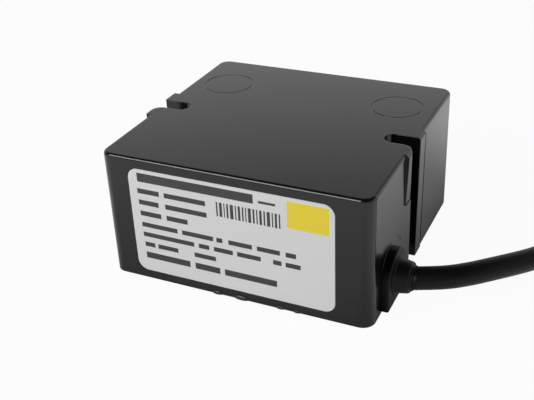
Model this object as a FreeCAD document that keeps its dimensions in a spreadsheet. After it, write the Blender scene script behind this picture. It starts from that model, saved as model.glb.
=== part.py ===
import FreeCAD, Part
import math
import os
import Sketcher
from FreeCAD import Placement, Rotation, Vector

# Ignition transformer for a burner: a moulded case, open below and filled with resin, that holds a pulse
# circuit and a ferrite transformer. A mains lead enters through a gland in the right wall, and the high
# voltage leaves at a spike in a round well in the rear wall.
# Millimetres. The origin is the middle of the case's foot, +X runs right along the label, +Y to the back
# and +Z up.

doc = FreeCAD.newDocument("ignition_transformer")
sizes = doc.addObject("Spreadsheet::Sheet", "Sizes")

# Driving sizes: alias, value, what it is
SIZES = (
    ("case_width", 88.0, "case at its foot, along X"),
    ("case_depth", 83.5, "case at its foot, along Y"),
    ("case_height", 42.5, "case, foot to top"),
    ("case_wall", 2.2, "side walls at the foot"),
    ("case_top", 2.5, "top wall"),
    ("case_draft", 0.29, "lean of the outer walls, degrees"),
    ("case_corner_radius", 4.0, "upright corners, outside"),
    ("case_edge_radius", 1.0, "edge round the top"),
    ("slot_width", 6.0, "mounting slot, across"),
    ("slot_reach", 10.0, "mounting slot, from the side of the case to its round end"),
    ("slot_y", -2.2, "middle of the mounting slots"),
    ("slot_wall", 2.0, "wall round a mounting slot"),
    ("lobe_length", 6.5, "lobe in front of a slot, along Y"),
    ("lobe_foot", 25.5, "height at which the lobe starts"),
    ("lobe_proud_foot", 0.5, "lobe beyond the wall at its foot"),
    ("lobe_proud_top", 1.15, "lobe beyond the wall at the top"),
    ("lobe_radius", 3.3, "round side of the lobe, towards the slot"),
    ("cheek_length", 6.0, "cheek behind a slot, along Y"),
    ("cheek_proud_right", 0.55, "right cheek beyond the wall at the top"),
    ("cheek_proud_left", 0.95, "left cheek beyond the wall at the top"),
    ("cheek_proud_foot", 0.35, "cheeks beyond the wall at the foot"),
    ("groove_width", 0.8, "fine upright groove behind the right cheek"),
    ("groove_depth", 0.5, "depth of that groove"),
    ("mark_radius", 8.5, "round witness marks on the top"),
    ("mark_inset", 13.2, "witness marks from the sides of the case"),
    ("mark_y", 20.6, "witness marks, along Y"),
    ("mark_line", 0.3, "width of a mark's line"),
    ("mark_depth", 0.15, "depth of a mark's line"),
    ("label_side_gap", 10.5, "label from the sides of the case, on average"),
    ("label_top_gap", 3.3, "label below the top of the case"),
    ("label_x", -0.5, "middle of the label"),
    ("label_z", 3.1, "label's lower edge"),
    ("label_radius", 3.5, "label's corners"),
    ("label_thickness", 0.2, "label"),
    ("gland_y", -23.7, "gland's axis"),
    ("gland_z", 8.5, "gland's axis above the foot"),
    ("gland_flange_radius", 8.5, "flanges, round upper part"),
    ("gland_flange", 2.1, "outer flange's thickness"),
    ("gland_inner_flange", 1.8, "inner flange's thickness"),
    ("gland_waist_radius", 6.4, "waist that sits in the wall"),
    ("gland_seat_gap", 0.1, "clearance of the waist in the case"),
    ("collar_rim_radius", 6.1, "step at the collar's root"),
    ("collar_rim", 0.5, "length of that step"),
    ("collar_radius", 5.4, "collar at its root"),
    ("collar_tip_radius", 4.4, "collar at its tip"),
    ("collar_length", 4.6, "collar from the flange"),
    ("nose_radius", 3.95, "nose beyond the collar"),
    ("nose_length", 1.8, "nose"),
    ("lead_diameter", 6.8, "mains lead's sheath"),
    ("sheath_inside", 6.0, "sheath beyond the inner flange"),
    ("core_diameter", 2.2, "insulated core of the lead"),
    ("board_length", 66.0, "circuit board along X"),
    ("board_width", 28.0, "circuit board along Y"),
    ("board_thickness", 1.6, "circuit board"),
    ("board_gap", 3.0, "circuit board from the case's left and front walls, inside"),
    ("board_drop", 6.0, "circuit board's component side below the ceiling"),
    ("post_width", 5.0, "case's square posts for the board"),
    ("stake_radius", 1.2, "stakes of the posts through the board"),
    ("stake_gap", 0.15, "clearance of a stake in the board"),
    ("stake_inset", 3.6, "stakes from the board's edges"),
    ("stake_head", 1.0, "stake beyond the board"),
    ("leg_width", 0.7, "component leads, square"),
    ("well_inset", 13.2, "high-voltage well's axis from the left side"),
    ("well_z", 20.0, "high-voltage well's axis above the foot"),
    ("well_radius", 7.0, "high-voltage well's bore"),
    ("well_wall", 2.0, "wall round the well"),
    ("well_depth", 17.5, "well from the rear face"),
    ("well_floor", 2.5, "floor of the well"),
    ("spike_radius", 1.5, "terminal's spike"),
    ("spike_length", 8.0, "spike's straight part, from the well's floor"),
    ("spike_tip", 1.5, "spike's cone"),
    ("terminal_tail", 3.5, "terminal's solder tail behind the well"),
    ("tail_radius", 1.0, "solder tail"),
    ("core_length", 56.0, "ferrite core along X, both halves"),
    ("core_leg", 9.0, "ferrite leg along Y, and the backs along X"),
    ("core_height", 10.0, "ferrite core upwards"),
    ("core_window", 7.4, "window between the legs"),
    ("core_x", 9.5, "middle of the ferrite core"),
    ("core_front", 4.0, "front of the ferrite core along Y"),
    ("core_z", 20.0, "middle height of the ferrite core"),
    ("gap_film", 0.3, "insulating film between the core's halves"),
    ("clip_thickness", 0.8, "core clip's strip"),
    ("clip_width", 7.0, "core clip's strip, upwards"),
    ("clip_hook", 3.0, "clip's hooked tips"),
    ("earth_tab_width", 4.8, "earth tab on the clip"),
    ("earth_tab_length", 7.0, "earth tab below the clip"),
    ("former_gap", 0.2, "former's bore round the leg"),
    ("former_hub_wall", 1.4, "former's hub round its bore"),
    ("former_flange_half", 11.2, "former's flanges, from the middle to a flat side"),
    ("former_flange_bevel", 4.0, "cut corners of the flanges"),
    ("former_flange", 0.9, "former's flange thickness"),
    ("former_end_gap", 0.6, "former from the core's backs"),
    ("primary_chamber", 8.0, "chamber of the primary winding"),
    ("chamber_count", 6, "chambers of the secondary winding"),
    ("winding_gap", 0.1, "windings from the former's walls"),
    ("primary_half", 10.2, "primary winding, from the middle to a flat side"),
    ("secondary_half", 10.5, "secondary winding, from the middle to a flat side"),
    ("pin_width", 0.9, "former's square pins"),
    ("pin_length", 5.0, "former's pins below their blocks"),
    ("hv_wire_radius", 1.9, "insulated high-voltage wire"),
    ("resin_recess", 0.6, "resin below the rim of the case"),
    ("rib_thickness", 2.0, "case's ribs under the core"),
    ("coil_radius", 31.4, "stored coil at the middle of its turns"),
    ("coil_turns", 2, "turns side by side"),
    ("tail_length", 48.0, "sheath from the coil's turns to the stripped end"),
    ("free_core_length", 32.0, "stripped cores"),
    ("ferrule_radius", 0.9, "ferrule on a core"),
    ("ferrule_length", 8.0, "ferrule"),
)
for row, (alias, value, note) in enumerate(SIZES, start=1):
    sizes.set(f"A{row}", note)
    sizes.set(f"B{row}", str(value))
    sizes.setAlias(f"B{row}", alias)
doc.recompute()


def of_sheet(text):
    """Expression with each size's alias led by the sheet's name."""
    words = []
    word = ""
    for letter in text + " ":
        if letter.isalnum() or letter == "_":
            word += letter
            continue
        words.append(f"Sizes.{word}" if word in ALIASES else word)
        words.append(letter)
        word = ""
    return "".join(words).strip()


ALIASES = {alias for alias, value, note in SIZES}


def number(text):
    """Value of an expression in the sheet's sizes."""
    return float(sizes.evalExpression(of_sheet(str(text))))


def point(x, y, z):
    return Vector(number(x), number(y), number(z))


def bind(thing, bindings):
    for path, text in bindings.items():
        thing.setExpression(path, of_sheet(str(text)))
    return thing


# Places that several pieces share, as expressions in the sizes
INNER_X = "(case_width / 2 - case_wall)"
INNER_Y = "(case_depth / 2 - case_wall)"
CEILING = "(case_height - case_top)"
SLOT_ROUND_X = "(case_width / 2 - slot_reach + slot_width / 2)"
SLOT_FRONT = "(slot_y - slot_width / 2)"
SLOT_BACK = "(slot_y + slot_width / 2)"
BOARD_LEFT = f"(-{INNER_X} + board_gap)"
BOARD_FRONT = f"(-{INNER_Y} + board_gap)"
BOARD_BACK = f"({BOARD_FRONT} + board_width)"
BOARD_LEVEL = f"({CEILING} - board_drop)"
BOARD_TOP = f"({BOARD_LEVEL} + board_thickness)"
LEG_Y = "(core_front + core_leg * 1.5 + core_window)"
CORE_LEFT = "(core_x - core_length / 2)"
CORE_RIGHT = "(core_x + core_length / 2)"
CORE_BACK = "(core_front + core_leg * 2 + core_window)"
FORMER_LEFT = f"({CORE_LEFT} + core_leg + former_end_gap)"
FORMER_RIGHT = f"({CORE_RIGHT} - core_leg - former_end_gap)"
FORMER_LENGTH = f"({FORMER_RIGHT} - {FORMER_LEFT})"
CHAMBER_PITCH = f"(({FORMER_LENGTH} - primary_chamber - former_flange * 2) / chamber_count)"
GLAND_FACE = "(case_width / 2 + gland_flange)"
NOSE_END = f"({GLAND_FACE} + collar_length + nose_length)"
WELL_X = "(well_inset - case_width / 2)"
MARK_X = "(case_width / 2 - mark_inset)"
SHEATH_END = f"({INNER_X} - gland_inner_flange - sheath_inside)"
WELL_BACK = "(case_depth / 2 - well_depth - well_floor)"
LEAD_RADIUS = "(lead_diameter / 2)"


# Bodies and sketches
def body_named(label):
    return doc.addObject("PartDesign::Body", label)


def origin_plane(body, role):
    return next(item for item in body.Origin.OriginFeatures if item.Role == role)


def sketch_on(body, role, name, offset="0"):
    """Sketch on one of the body's origin planes, moved along that plane's normal."""
    sketch = body.newObject("Sketcher::SketchObject", name)
    sketch.AttachmentSupport = [(origin_plane(body, role), "")]
    sketch.MapMode = "FlatFace"
    bind(sketch, {"AttachmentOffset.Base.z": offset})
    return sketch


def name_constraint(sketch, constraint, name, text):
    index = sketch.addConstraint(constraint)
    sketch.renameConstraint(index, name)
    bind(sketch, {f"Constraints.{name}": text})


def tie_point(sketch, edge, end, x, y, name):
    """Fix an edge's end at expressions for its place from the sketch's origin."""
    root_point = (-1, 1)
    name_constraint(sketch, Sketcher.Constraint("DistanceX", *root_point, edge, end, number(x)), f"{name}_x", x)
    name_constraint(sketch, Sketcher.Constraint("DistanceY", *root_point, edge, end, number(y)), f"{name}_y", y)


def add_polygon(sketch, corners, name="corner"):
    """Closed straight outline, each corner tied to the sketch's origin."""
    places = [Vector(number(x), number(y), 0) for x, y in corners]
    first = sketch.GeometryCount
    count = len(corners)
    for index, place in enumerate(places):
        sketch.addGeometry(Part.LineSegment(place, places[(index + 1) % count]), False)
    for index in range(count):
        sketch.addConstraint(
            Sketcher.Constraint("Coincident", first + index, 2, first + (index + 1) % count, 1))
    for index, (x, y) in enumerate(corners):
        tie_point(sketch, first + index, 1, x, y, f"{name}{index + 1}")


def add_rectangle(sketch, low, high, name="corner"):
    add_polygon(sketch, ((low[0], low[1]), (high[0], low[1]), (high[0], high[1]), (low[0], high[1])), name)


def add_rounded_rectangle(sketch, low, high, radius):
    """Four sides and four arcs, all tangent, the arcs' centres tied to the sketch's origin."""
    left, front, right, back = (number(text) for text in (*low, *high))
    r = number(radius)
    corners = (
        (left + r, front + r, math.pi, f"({low[0]}) + {radius}", f"({low[1]}) + {radius}"),
        (right - r, front + r, 1.5 * math.pi, f"({high[0]}) - {radius}", f"({low[1]}) + {radius}"),
        (right - r, back - r, 0, f"({high[0]}) - {radius}", f"({high[1]}) - {radius}"),
        (left + r, back - r, 0.5 * math.pi, f"({low[0]}) + {radius}", f"({high[1]}) - {radius}"),
    )
    arcs = []
    for x, y, start, x_text, y_text in corners:
        circle = Part.Circle(Vector(x, y, 0), Vector(0, 0, 1), r)
        arcs.append(sketch.addGeometry(Part.ArcOfCircle(circle, start, start + math.pi / 2), False))
    for index, arc in enumerate(arcs):
        following = arcs[(index + 1) % 4]
        end = sketch.getPoint(arc, 2)
        side = sketch.addGeometry(Part.LineSegment(end, sketch.getPoint(following, 1)), False)
        sketch.addConstraint(Sketcher.Constraint("Tangent", arc, 2, side, 1))
        sketch.addConstraint(Sketcher.Constraint("Tangent", side, 2, following, 1))
    for index, (arc, corner) in enumerate(zip(arcs, corners), start=1):
        tie_point(sketch, arc, 3, corner[3], corner[4], f"corner{index}")
        name_constraint(sketch, Sketcher.Constraint("Radius", arc, r), f"corner{index}_radius", radius)


def add_circle(sketch, x, y, radius, name="circle"):
    centre = Vector(number(x), number(y), 0)
    edge = sketch.addGeometry(Part.Circle(centre, Vector(0, 0, 1), number(radius)), False)
    tie_point(sketch, edge, 3, x, y, f"{name}_centre")
    name_constraint(sketch, Sketcher.Constraint("Radius", edge, number(radius)), f"{name}_radius", radius)


def add_u_shape(sketch, centre, radius, reach, towards):
    """Half round end with two straight sides to an open end: towards is 0 for +x, 90, 180 or 270 degrees."""
    turn = math.radians(towards)
    ahead = Vector(round(math.cos(turn)), round(math.sin(turn)), 0)
    left = Vector(-ahead.y, ahead.x, 0)
    middle = Vector(number(centre[0]), number(centre[1]), 0)
    r = number(radius)
    far = number(reach)
    places = []
    for side, run in ((-1, 0), (-1, far), (1, far), (1, 0)):
        places.append(middle + left * (side * r) + ahead * run)
    lower = sketch.addGeometry(Part.LineSegment(places[0], places[1]), False)
    mouth = sketch.addGeometry(Part.LineSegment(places[1], places[2]), False)
    upper = sketch.addGeometry(Part.LineSegment(places[2], places[3]), False)
    circle = Part.Circle(middle, Vector(0, 0, 1), r)
    start = turn + math.pi / 2
    arc = sketch.addGeometry(Part.ArcOfCircle(circle, start, start + math.pi), False)
    sketch.addConstraint(Sketcher.Constraint("Coincident", lower, 2, mouth, 1))
    sketch.addConstraint(Sketcher.Constraint("Coincident", mouth, 2, upper, 1))
    sketch.addConstraint(Sketcher.Constraint("Tangent", upper, 2, arc, 1))
    sketch.addConstraint(Sketcher.Constraint("Tangent", arc, 2, lower, 1))
    along, across = ("Horizontal", "Vertical") if ahead.x else ("Vertical", "Horizontal")
    sketch.addConstraint(Sketcher.Constraint(along, lower))
    sketch.addConstraint(Sketcher.Constraint(across, mouth))
    tie_point(sketch, arc, 3, centre[0], centre[1], "round_centre")
    name_constraint(sketch, Sketcher.Constraint("Radius", arc, r), "round_radius", radius)
    name_constraint(sketch, Sketcher.Constraint("Distance", lower, far), "reach", reach)


def pad(body, sketch, name, length, reverse=False, taper=None):
    feature = body.newObject("PartDesign::Pad", name)
    feature.Profile = sketch
    feature.Reversed = reverse
    bind(feature, {"Length": length})
    if taper:
        bind(feature, {"TaperAngle": taper})
    doc.recompute()
    return feature


def pocket(body, sketch, name, depth, reverse=False):
    """Pocket whose cut is proved by the volume that it takes away."""
    before = body.Shape.Volume
    feature = body.newObject("PartDesign::Pocket", name)
    feature.Profile = sketch
    feature.Reversed = reverse
    bind(feature, {"Length": depth})
    doc.recompute()
    if body.Shape.Volume >= before - 1e-6:
        raise RuntimeError(f"{name} cuts nothing")
    return feature


def dress(body, kind, name, edges, size):
    """Fillet or chamfer on the edges of the body's last feature that the test picks."""
    base = body.Tip
    names = [f"Edge{index}" for index, edge in enumerate(base.Shape.Edges, start=1) if edges(edge)]
    feature = body.newObject(f"PartDesign::{kind}", name)
    feature.Base = (base, names)
    bind(feature, {"Radius" if kind == "Fillet" else "Size": size})
    doc.recompute()
    return feature


def near(value, text, slack=0.05):
    return abs(value - number(text)) < slack


def is_upright(edge):
    box = edge.BoundBox
    return box.ZLength > 1 and box.XLength < 0.5 and box.YLength < 0.5


# Plain solids bound to the sizes
def block(name, low, high):
    solid = doc.addObject("Part::Box", name)
    for size_name, start, end in zip(("Length", "Width", "Height"), low, high):
        bind(solid, {size_name: f"({end}) - ({start})"})
    for coordinate, start in zip("xyz", low):
        bind(solid, {f"Placement.Base.{coordinate}": start})
    return solid


TURN_TO = {"z": Rotation(), "x": Rotation(Vector(0, 1, 0), 90), "y": Rotation(Vector(1, 0, 0), -90)}


def rod(name, start, radius, length, axis="z", tip_radius=None):
    """Cylinder, or a cone where a tip radius is given, from start along an axis."""
    solid = doc.addObject("Part::Cylinder" if tip_radius is None else "Part::Cone", name)
    solid.Placement = Placement(Vector(), TURN_TO[axis])
    if tip_radius is None:
        bind(solid, {"Radius": radius, "Height": length})
    else:
        bind(solid, {"Radius1": radius, "Radius2": tip_radius, "Height": length})
    for coordinate, place in zip("xyz", start):
        bind(solid, {f"Placement.Base.{coordinate}": place})
    return solid


def fuse(name, solids):
    joined = doc.addObject("Part::MultiFuse", name)
    joined.Shapes = solids
    return joined


def cut(name, base, tool):
    difference = doc.addObject("Part::Cut", name)
    difference.Base = base
    difference.Tool = tool
    return difference


def shape_part(label, shape):
    feature = doc.addObject("Part::Feature", label)
    feature.Shape = shape
    return feature


# Wires and the lead: straight runs joined by tangent arcs
def arc_radii(points, bend=None):
    """Radius at each inner point: a given bend, or as large as its two runs allow."""
    radii = []
    for before, corner, after in zip(points, points[1:], points[2:]):
        run_in = corner - before
        run_out = after - corner
        half_turn = run_in.getAngle(run_out) / 2
        largest = 0.45 * min(run_in.Length, run_out.Length) / math.tan(half_turn)
        radii.append(min(bend, largest) if bend else largest)
    return radii


def route_wire(points, bend=None):
    edges = []
    start = points[0]
    for index, radius in enumerate(arc_radii(points, bend), start=1):
        corner = points[index]
        back = (points[index - 1] - corner).normalize()
        ahead = (points[index + 1] - corner).normalize()
        half_turn = (math.pi - back.getAngle(ahead)) / 2
        trim = radius * math.tan(half_turn)
        arc_start = corner + back * trim
        arc_end = corner + ahead * trim
        inwards = (back + ahead).normalize()
        middle = corner + inwards * (radius / math.cos(half_turn) - radius)
        edges.append(Part.LineSegment(start, arc_start).toShape())
        edges.append(Part.Arc(arc_start, middle, arc_end).toShape())
        start = arc_end
    edges.append(Part.LineSegment(start, points[-1]).toShape())
    return Part.Wire(edges)


def tube(points, radius, bend=None):
    """Round rod along a route."""
    path = route_wire(points, bend)
    direction = points[1] - points[0]
    profile = Part.Wire([Part.makeCircle(radius, points[0], direction)])
    solid = path.makePipeShell([profile], True, False)
    expected = math.pi * radius ** 2 * path.Length
    if abs(solid.Volume - expected) > 0.02 * expected:
        raise RuntimeError(f"tube volume {solid.Volume:.1f} differs from {expected:.1f}")
    return solid


def mitred_wire(points, radius):
    """Eight-sided insulated wire with square corners, for the runs buried in resin."""
    direction = (points[1] - points[0]).normalize()
    aside = Vector(0, 0, 1) if abs(direction.z) < 0.9 else Vector(0, 1, 0)
    across = direction.cross(aside).normalize()
    upwards = across.cross(direction)
    corners = []
    for index in range(9):
        turn = math.radians(22.5 + 45 * index)
        corners.append(points[0] + across * (radius * math.cos(turn)) + upwards * (radius * math.sin(turn)))
    return Part.makePolygon(points).makePipeShell([Part.makePolygon(corners)], True, False, 1)


# Case: a drafted box, hollow from below, with two slot channels, a well and posts
def add_side_lobe(body, side, name, y_low, y_high, foot, proud_foot, proud_top):
    """Low lobe on a side wall, a little thicker upwards."""
    profile = sketch_on(body, "XZ_Plane", f"{name}_profile", f"-({y_high})")
    root_x = f"({side} * (case_width / 2 - case_wall / 2))"
    add_polygon(profile, ((root_x, foot), (f"({side} * (case_width / 2 + {proud_foot}))", foot),
                          (f"({side} * (case_width / 2 + {proud_top}))", "case_height"),
                          (root_x, "case_height")))
    return pad(body, profile, name, f"{y_high} - ({y_low})")


def add_lobe_round(sketch, side):
    """Outline outside the round that leads from a lobe's face into the slot."""
    centre_x = f"({side} * (case_width / 2 + lobe_proud_top - lobe_radius))"
    centre_y = f"({SLOT_FRONT} - lobe_radius)"
    clear_x = f"({side} * (case_width / 2 + lobe_proud_top + 1))"
    clear_y = f"({SLOT_FRONT} + 1)"
    r = number("lobe_radius")
    centre = Vector(number(centre_x), number(centre_y), 0)
    face_point = centre + Vector(side * r, 0, 0)
    slot_point = centre + Vector(0, r, 0)
    corners = [slot_point, Vector(centre.x, number(clear_y), 0), Vector(number(clear_x), number(clear_y), 0),
               Vector(number(clear_x), centre.y, 0), face_point]
    lines = [sketch.addGeometry(Part.LineSegment(low, high), False) for low, high in zip(corners, corners[1:])]
    first = 0 if side > 0 else math.pi / 2
    circle = Part.Circle(centre, Vector(0, 0, 1), r)
    arc = sketch.addGeometry(Part.ArcOfCircle(circle, first, first + math.pi / 2), False)
    face_end, slot_end = (1, 2) if side > 0 else (2, 1)
    for line, following in zip(lines, lines[1:]):
        sketch.addConstraint(Sketcher.Constraint("Coincident", line, 2, following, 1))
    sketch.addConstraint(Sketcher.Constraint("Coincident", lines[-1], 2, arc, face_end))
    sketch.addConstraint(Sketcher.Constraint("Coincident", lines[0], 1, arc, slot_end))
    sketch.addConstraint(Sketcher.Constraint("Vertical", lines[0]))
    sketch.addConstraint(Sketcher.Constraint("Horizontal", lines[1]))
    sketch.addConstraint(Sketcher.Constraint("Vertical", lines[2]))
    sketch.addConstraint(Sketcher.Constraint("Horizontal", lines[3]))
    tie_point(sketch, arc, 3, centre_x, centre_y, "round_centre")
    tie_point(sketch, lines[1], 2, clear_x, clear_y, "clear_corner")
    name_constraint(sketch, Sketcher.Constraint("Radius", arc, r), "round_radius", "lobe_radius")
    sketch.addConstraint(Sketcher.Constraint("Vertical", arc, slot_end, arc, 3))
    sketch.addConstraint(Sketcher.Constraint("Horizontal", arc, face_end, arc, 3))


def make_case():
    body = body_named("case")
    half_width = "(case_width / 2)"
    half_depth = "(case_depth / 2)"

    foot = sketch_on(body, "XY_Plane", "case_foot")
    add_rounded_rectangle(foot, (f"-{half_width}", f"-{half_depth}"), (half_width, half_depth),
                          "case_corner_radius")
    pad(body, foot, "case_block", "case_height", taper="-case_draft")
    dress(body, "Fillet", "case_top_edge", lambda edge: near(edge.BoundBox.ZMin, "case_height"),
          "case_edge_radius")

    for side, name, cheek_top in ((1, "right", "cheek_proud_right"), (-1, "left", "cheek_proud_left")):
        add_side_lobe(body, side, f"{name}_lobe", f"{SLOT_FRONT} - lobe_length", "slot_y",
                      "lobe_foot", "lobe_proud_foot", "lobe_proud_top")
        add_side_lobe(body, side, f"{name}_cheek", "slot_y", f"{SLOT_BACK} + cheek_length",
                      "0", "cheek_proud_foot", cheek_top)

    hollow = sketch_on(body, "XY_Plane", "case_hollow")
    add_rectangle(hollow, (f"-{INNER_X}", f"-{INNER_Y}"), (INNER_X, INNER_Y))
    pocket(body, hollow, "case_cavity", CEILING, reverse=True)

    channel_reach = f"({INNER_X} + case_wall / 2 - {SLOT_ROUND_X})"
    for side, name, towards in ((1, "right", 0), (-1, "left", 180)):
        centre = (f"{side} * {SLOT_ROUND_X}", "slot_y")
        channel = sketch_on(body, "XY_Plane", f"{name}_channel")
        add_u_shape(channel, centre, "slot_width / 2 + slot_wall", channel_reach, towards)
        pad(body, channel, f"{name}_channel_wall", "case_height - case_top / 2")
    for side, name, towards in ((1, "right", 0), (-1, "left", 180)):
        centre = (f"{side} * {SLOT_ROUND_X}", "slot_y")
        slot = sketch_on(body, "XY_Plane", f"{name}_slot")
        add_u_shape(slot, centre, "slot_width / 2", "slot_reach", towards)
        pocket(body, slot, f"{name}_slot_cut", "case_height", reverse=True)

    tower = sketch_on(body, "XZ_Plane", "well_tower", f"-({half_depth} - case_wall / 2)")
    add_circle(tower, WELL_X, "well_z", "well_radius + well_wall")
    pad(body, tower, "well_tower_wall", "well_depth + well_floor - case_wall / 2")
    well = sketch_on(body, "XZ_Plane", "well", f"-{half_depth}")
    add_circle(well, WELL_X, "well_z", "well_radius")
    pocket(body, well, "well_bore", "well_depth", reverse=True)
    passage = sketch_on(body, "XZ_Plane", "terminal_passage", f"-{half_depth}")
    add_circle(passage, WELL_X, "well_z", "tail_radius")
    pocket(body, passage, "terminal_hole", "well_depth + well_floor + 1", reverse=True)

    posts = sketch_on(body, "XY_Plane", "board_posts", BOARD_TOP)
    stakes = sketch_on(body, "XY_Plane", "board_stakes", f"{BOARD_LEVEL} - stake_head")
    for index, (x, y) in enumerate(stake_places()):
        add_rectangle(posts, (f"{x} - post_width / 2", f"{y} - post_width / 2"),
                      (f"{x} + post_width / 2", f"{y} + post_width / 2"), f"post{index + 1}_corner")
        add_circle(stakes, x, y, "stake_radius", f"stake{index + 1}")
    pad(body, posts, "board_post_solids", f"{CEILING} - {BOARD_TOP} + case_top / 2")
    pad(body, stakes, "board_stake_solids", "board_thickness + stake_head + 0.5")

    ribs = sketch_on(body, "XY_Plane", "core_ribs", "core_z + core_height / 2")
    for name, x in (("rib_left", f"{CORE_LEFT} + core_leg / 2"), ("rib_right", f"{CORE_RIGHT} - core_leg / 2")):
        add_rectangle(ribs, (f"{x} - rib_thickness / 2", f"core_front + core_leg / 2"),
                      (f"{x} + rib_thickness / 2", f"{CORE_BACK} - core_leg / 2"), name)
    pad(body, ribs, "core_rib_walls", f"{CEILING} - core_z - core_height / 2 + case_top / 2")

    seat = sketch_on(body, "YZ_Plane", "gland_seat", f"{INNER_X} - 1")
    add_u_shape(seat, ("gland_y", "gland_z"), "gland_waist_radius + gland_seat_gap", "gland_z + 1", 270)
    pocket(body, seat, "gland_seat_cut", "case_wall + 2", reverse=True)

    groove = sketch_on(body, "XY_Plane", "cheek_groove")
    groove_y = f"({SLOT_BACK} + cheek_length)"
    add_rectangle(groove, (f"{half_width} - groove_depth", groove_y),
                  (f"{half_width} + 1", f"{groove_y} + groove_width"))
    pocket(body, groove, "cheek_groove_cut", "case_height", reverse=True)

    marks = sketch_on(body, "XY_Plane", "top_marks", "case_height")
    for name, side in (("right", 1), ("left", -1)):
        add_circle(marks, f"{side} * {MARK_X}", "mark_y", "mark_radius", f"{name}_outer")
        add_circle(marks, f"{side} * {MARK_X}", "mark_y", "mark_radius - mark_line", f"{name}_inner")
    pocket(body, marks, "top_mark_lines", "mark_depth")
    for side, name in ((1, "right"), (-1, "left")):
        lobe_round = sketch_on(body, "XY_Plane", f"{name}_lobe_round", "lobe_foot")
        add_lobe_round(lobe_round, side)
        pocket(body, lobe_round, f"{name}_lobe_round_cut", "case_height - lobe_foot", reverse=True)
    return body


def stake_places():
    """The four stakes, from the board's corners."""
    places = []
    for x in (f"{BOARD_LEFT} + stake_inset", f"{BOARD_LEFT} + board_length - stake_inset"):
        for y in (f"{BOARD_FRONT} + stake_inset", f"{BOARD_BACK} - stake_inset"):
            places.append((x, y))
    return places


def make_label():
    """Label on the leaning front wall."""
    body = body_named("rating_label")
    outline = sketch_on(body, "XZ_Plane", "label_outline")
    add_rectangle(outline, ("label_x - case_width / 2 + label_side_gap", "0"),
                  ("label_x + case_width / 2 - label_side_gap", "case_height - label_z - label_top_gap"))
    pad(body, outline, "label_sheet", "label_thickness")
    dress(body, "Fillet", "label_corners", lambda edge: edge.BoundBox.YLength > 0.1, "label_radius")
    lean = Rotation(Vector(1, 0, 0), -number("case_draft"))
    lift = number("label_z")
    wall_y = -number("case_depth") / 2 + lift * math.tan(math.radians(number("case_draft")))
    body.Placement = Placement(Vector(0, wall_y, lift), lean)
    return body


# Gland and the lead's end inside the case
def make_gland():
    body = body_named("cable_gland")
    waist_reach = "gland_z"
    layers = (
        ("inner_flange", f"{INNER_X} - gland_inner_flange", "gland_flange_radius", "gland_inner_flange"),
        ("waist", INNER_X, "gland_waist_radius", "case_wall"),
        ("outer_flange", "case_width / 2", "gland_flange_radius", "gland_flange"),
    )
    for name, start, radius, thickness in layers:
        outline = sketch_on(body, "YZ_Plane", f"{name}_outline", start)
        add_u_shape(outline, ("gland_y", "gland_z"), radius, waist_reach, 270)
        pad(body, outline, name, thickness)
    collar = sketch_on(body, "XZ_Plane", "collar_profile", "-gland_y")
    tip = f"({GLAND_FACE} + collar_length)"
    profile = (
        (f"{GLAND_FACE} - gland_flange / 2", "gland_z"),
        (f"{GLAND_FACE} - gland_flange / 2", "gland_z + collar_rim_radius"),
        (f"{GLAND_FACE} + collar_rim", "gland_z + collar_rim_radius"),
        (f"{GLAND_FACE} + collar_rim", "gland_z + collar_radius"),
        (tip, "gland_z + collar_tip_radius"),
        (tip, "gland_z + nose_radius"),
        (NOSE_END, "gland_z + nose_radius"),
        (NOSE_END, "gland_z"),
    )
    add_polygon(collar, profile)
    doc.recompute()
    turned = body.newObject("PartDesign::Revolution", "collar")
    turned.Profile = collar
    turned.ReferenceAxis = (collar, [f"Edge{len(profile)}"])
    turned.Angle = 360
    doc.recompute()
    passage = sketch_on(body, "YZ_Plane", "lead_passage", f"{INNER_X} - gland_inner_flange - 1")
    add_circle(passage, "gland_y", "gland_z", LEAD_RADIUS)
    pocket(body, passage, "lead_bore", f"{NOSE_END} - {INNER_X} + gland_inner_flange + 2", reverse=True)
    return body


def make_lead_inside():
    return rod("lead_inner", (SHEATH_END, "gland_y", "gland_z"), LEAD_RADIUS, f"{NOSE_END} - {SHEATH_END}", "x")


# Lead outside the case: the run seen in the photograph, the stored coil and the stripped end.
# The points between the gland and the coil were placed by hand.
RUN_POINTS = (
    (61.0, -18.6, 8.5),
    (71.7, -8.6, 7.6),
    (81.4, 4.0, 5.6),
    (89.2, 17.5, 4.0),
    (93.6, 32.0, 3.4),
    (95.3, 52.0, 3.4),
)
COIL_CENTRE = (130.0, 49.0)
TAIL_ANGLE = -10


def coil_shape():
    """Closed ring of the coil's turns, side by side on the floor, with bevelled edges."""
    radius = number(LEAD_RADIUS)
    centre_run = number("coil_radius")
    middle = Vector(COIL_CENTRE[0], COIL_CENTRE[1], 0)
    half_band = number("coil_turns") * radius
    bevel = radius * 0.6
    low = centre_run - half_band
    high = centre_run + half_band
    top = 2 * radius
    outline = ((low + bevel, 0), (high - bevel, 0), (high, bevel), (high, top - bevel),
               (high - bevel, top), (low + bevel, top), (low, top - bevel), (low, bevel), (low + bevel, 0))
    section = Part.Face(Part.makePolygon([middle + Vector(out, 0, up) for out, up in outline]))
    return section.revolve(middle, Vector(0, 0, 1), 360)


def coil_point(angle, radius, height):
    """Place on the coil by angle in degrees from +X."""
    turn = math.radians(angle)
    return Vector(COIL_CENTRE[0] + radius * math.cos(turn), COIL_CENTRE[1] + radius * math.sin(turn), height)


def tail_points():
    """Sheath's end: it leaves the turns straight ahead on the floor, clockwise from above."""
    start = coil_point(TAIL_ANGLE, number("coil_radius"), number(LEAD_RADIUS))
    ahead = coil_point(TAIL_ANGLE - 90, 1, 0) - coil_point(0, 0, 0)
    return [start, start + ahead * number("tail_length")]


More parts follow.
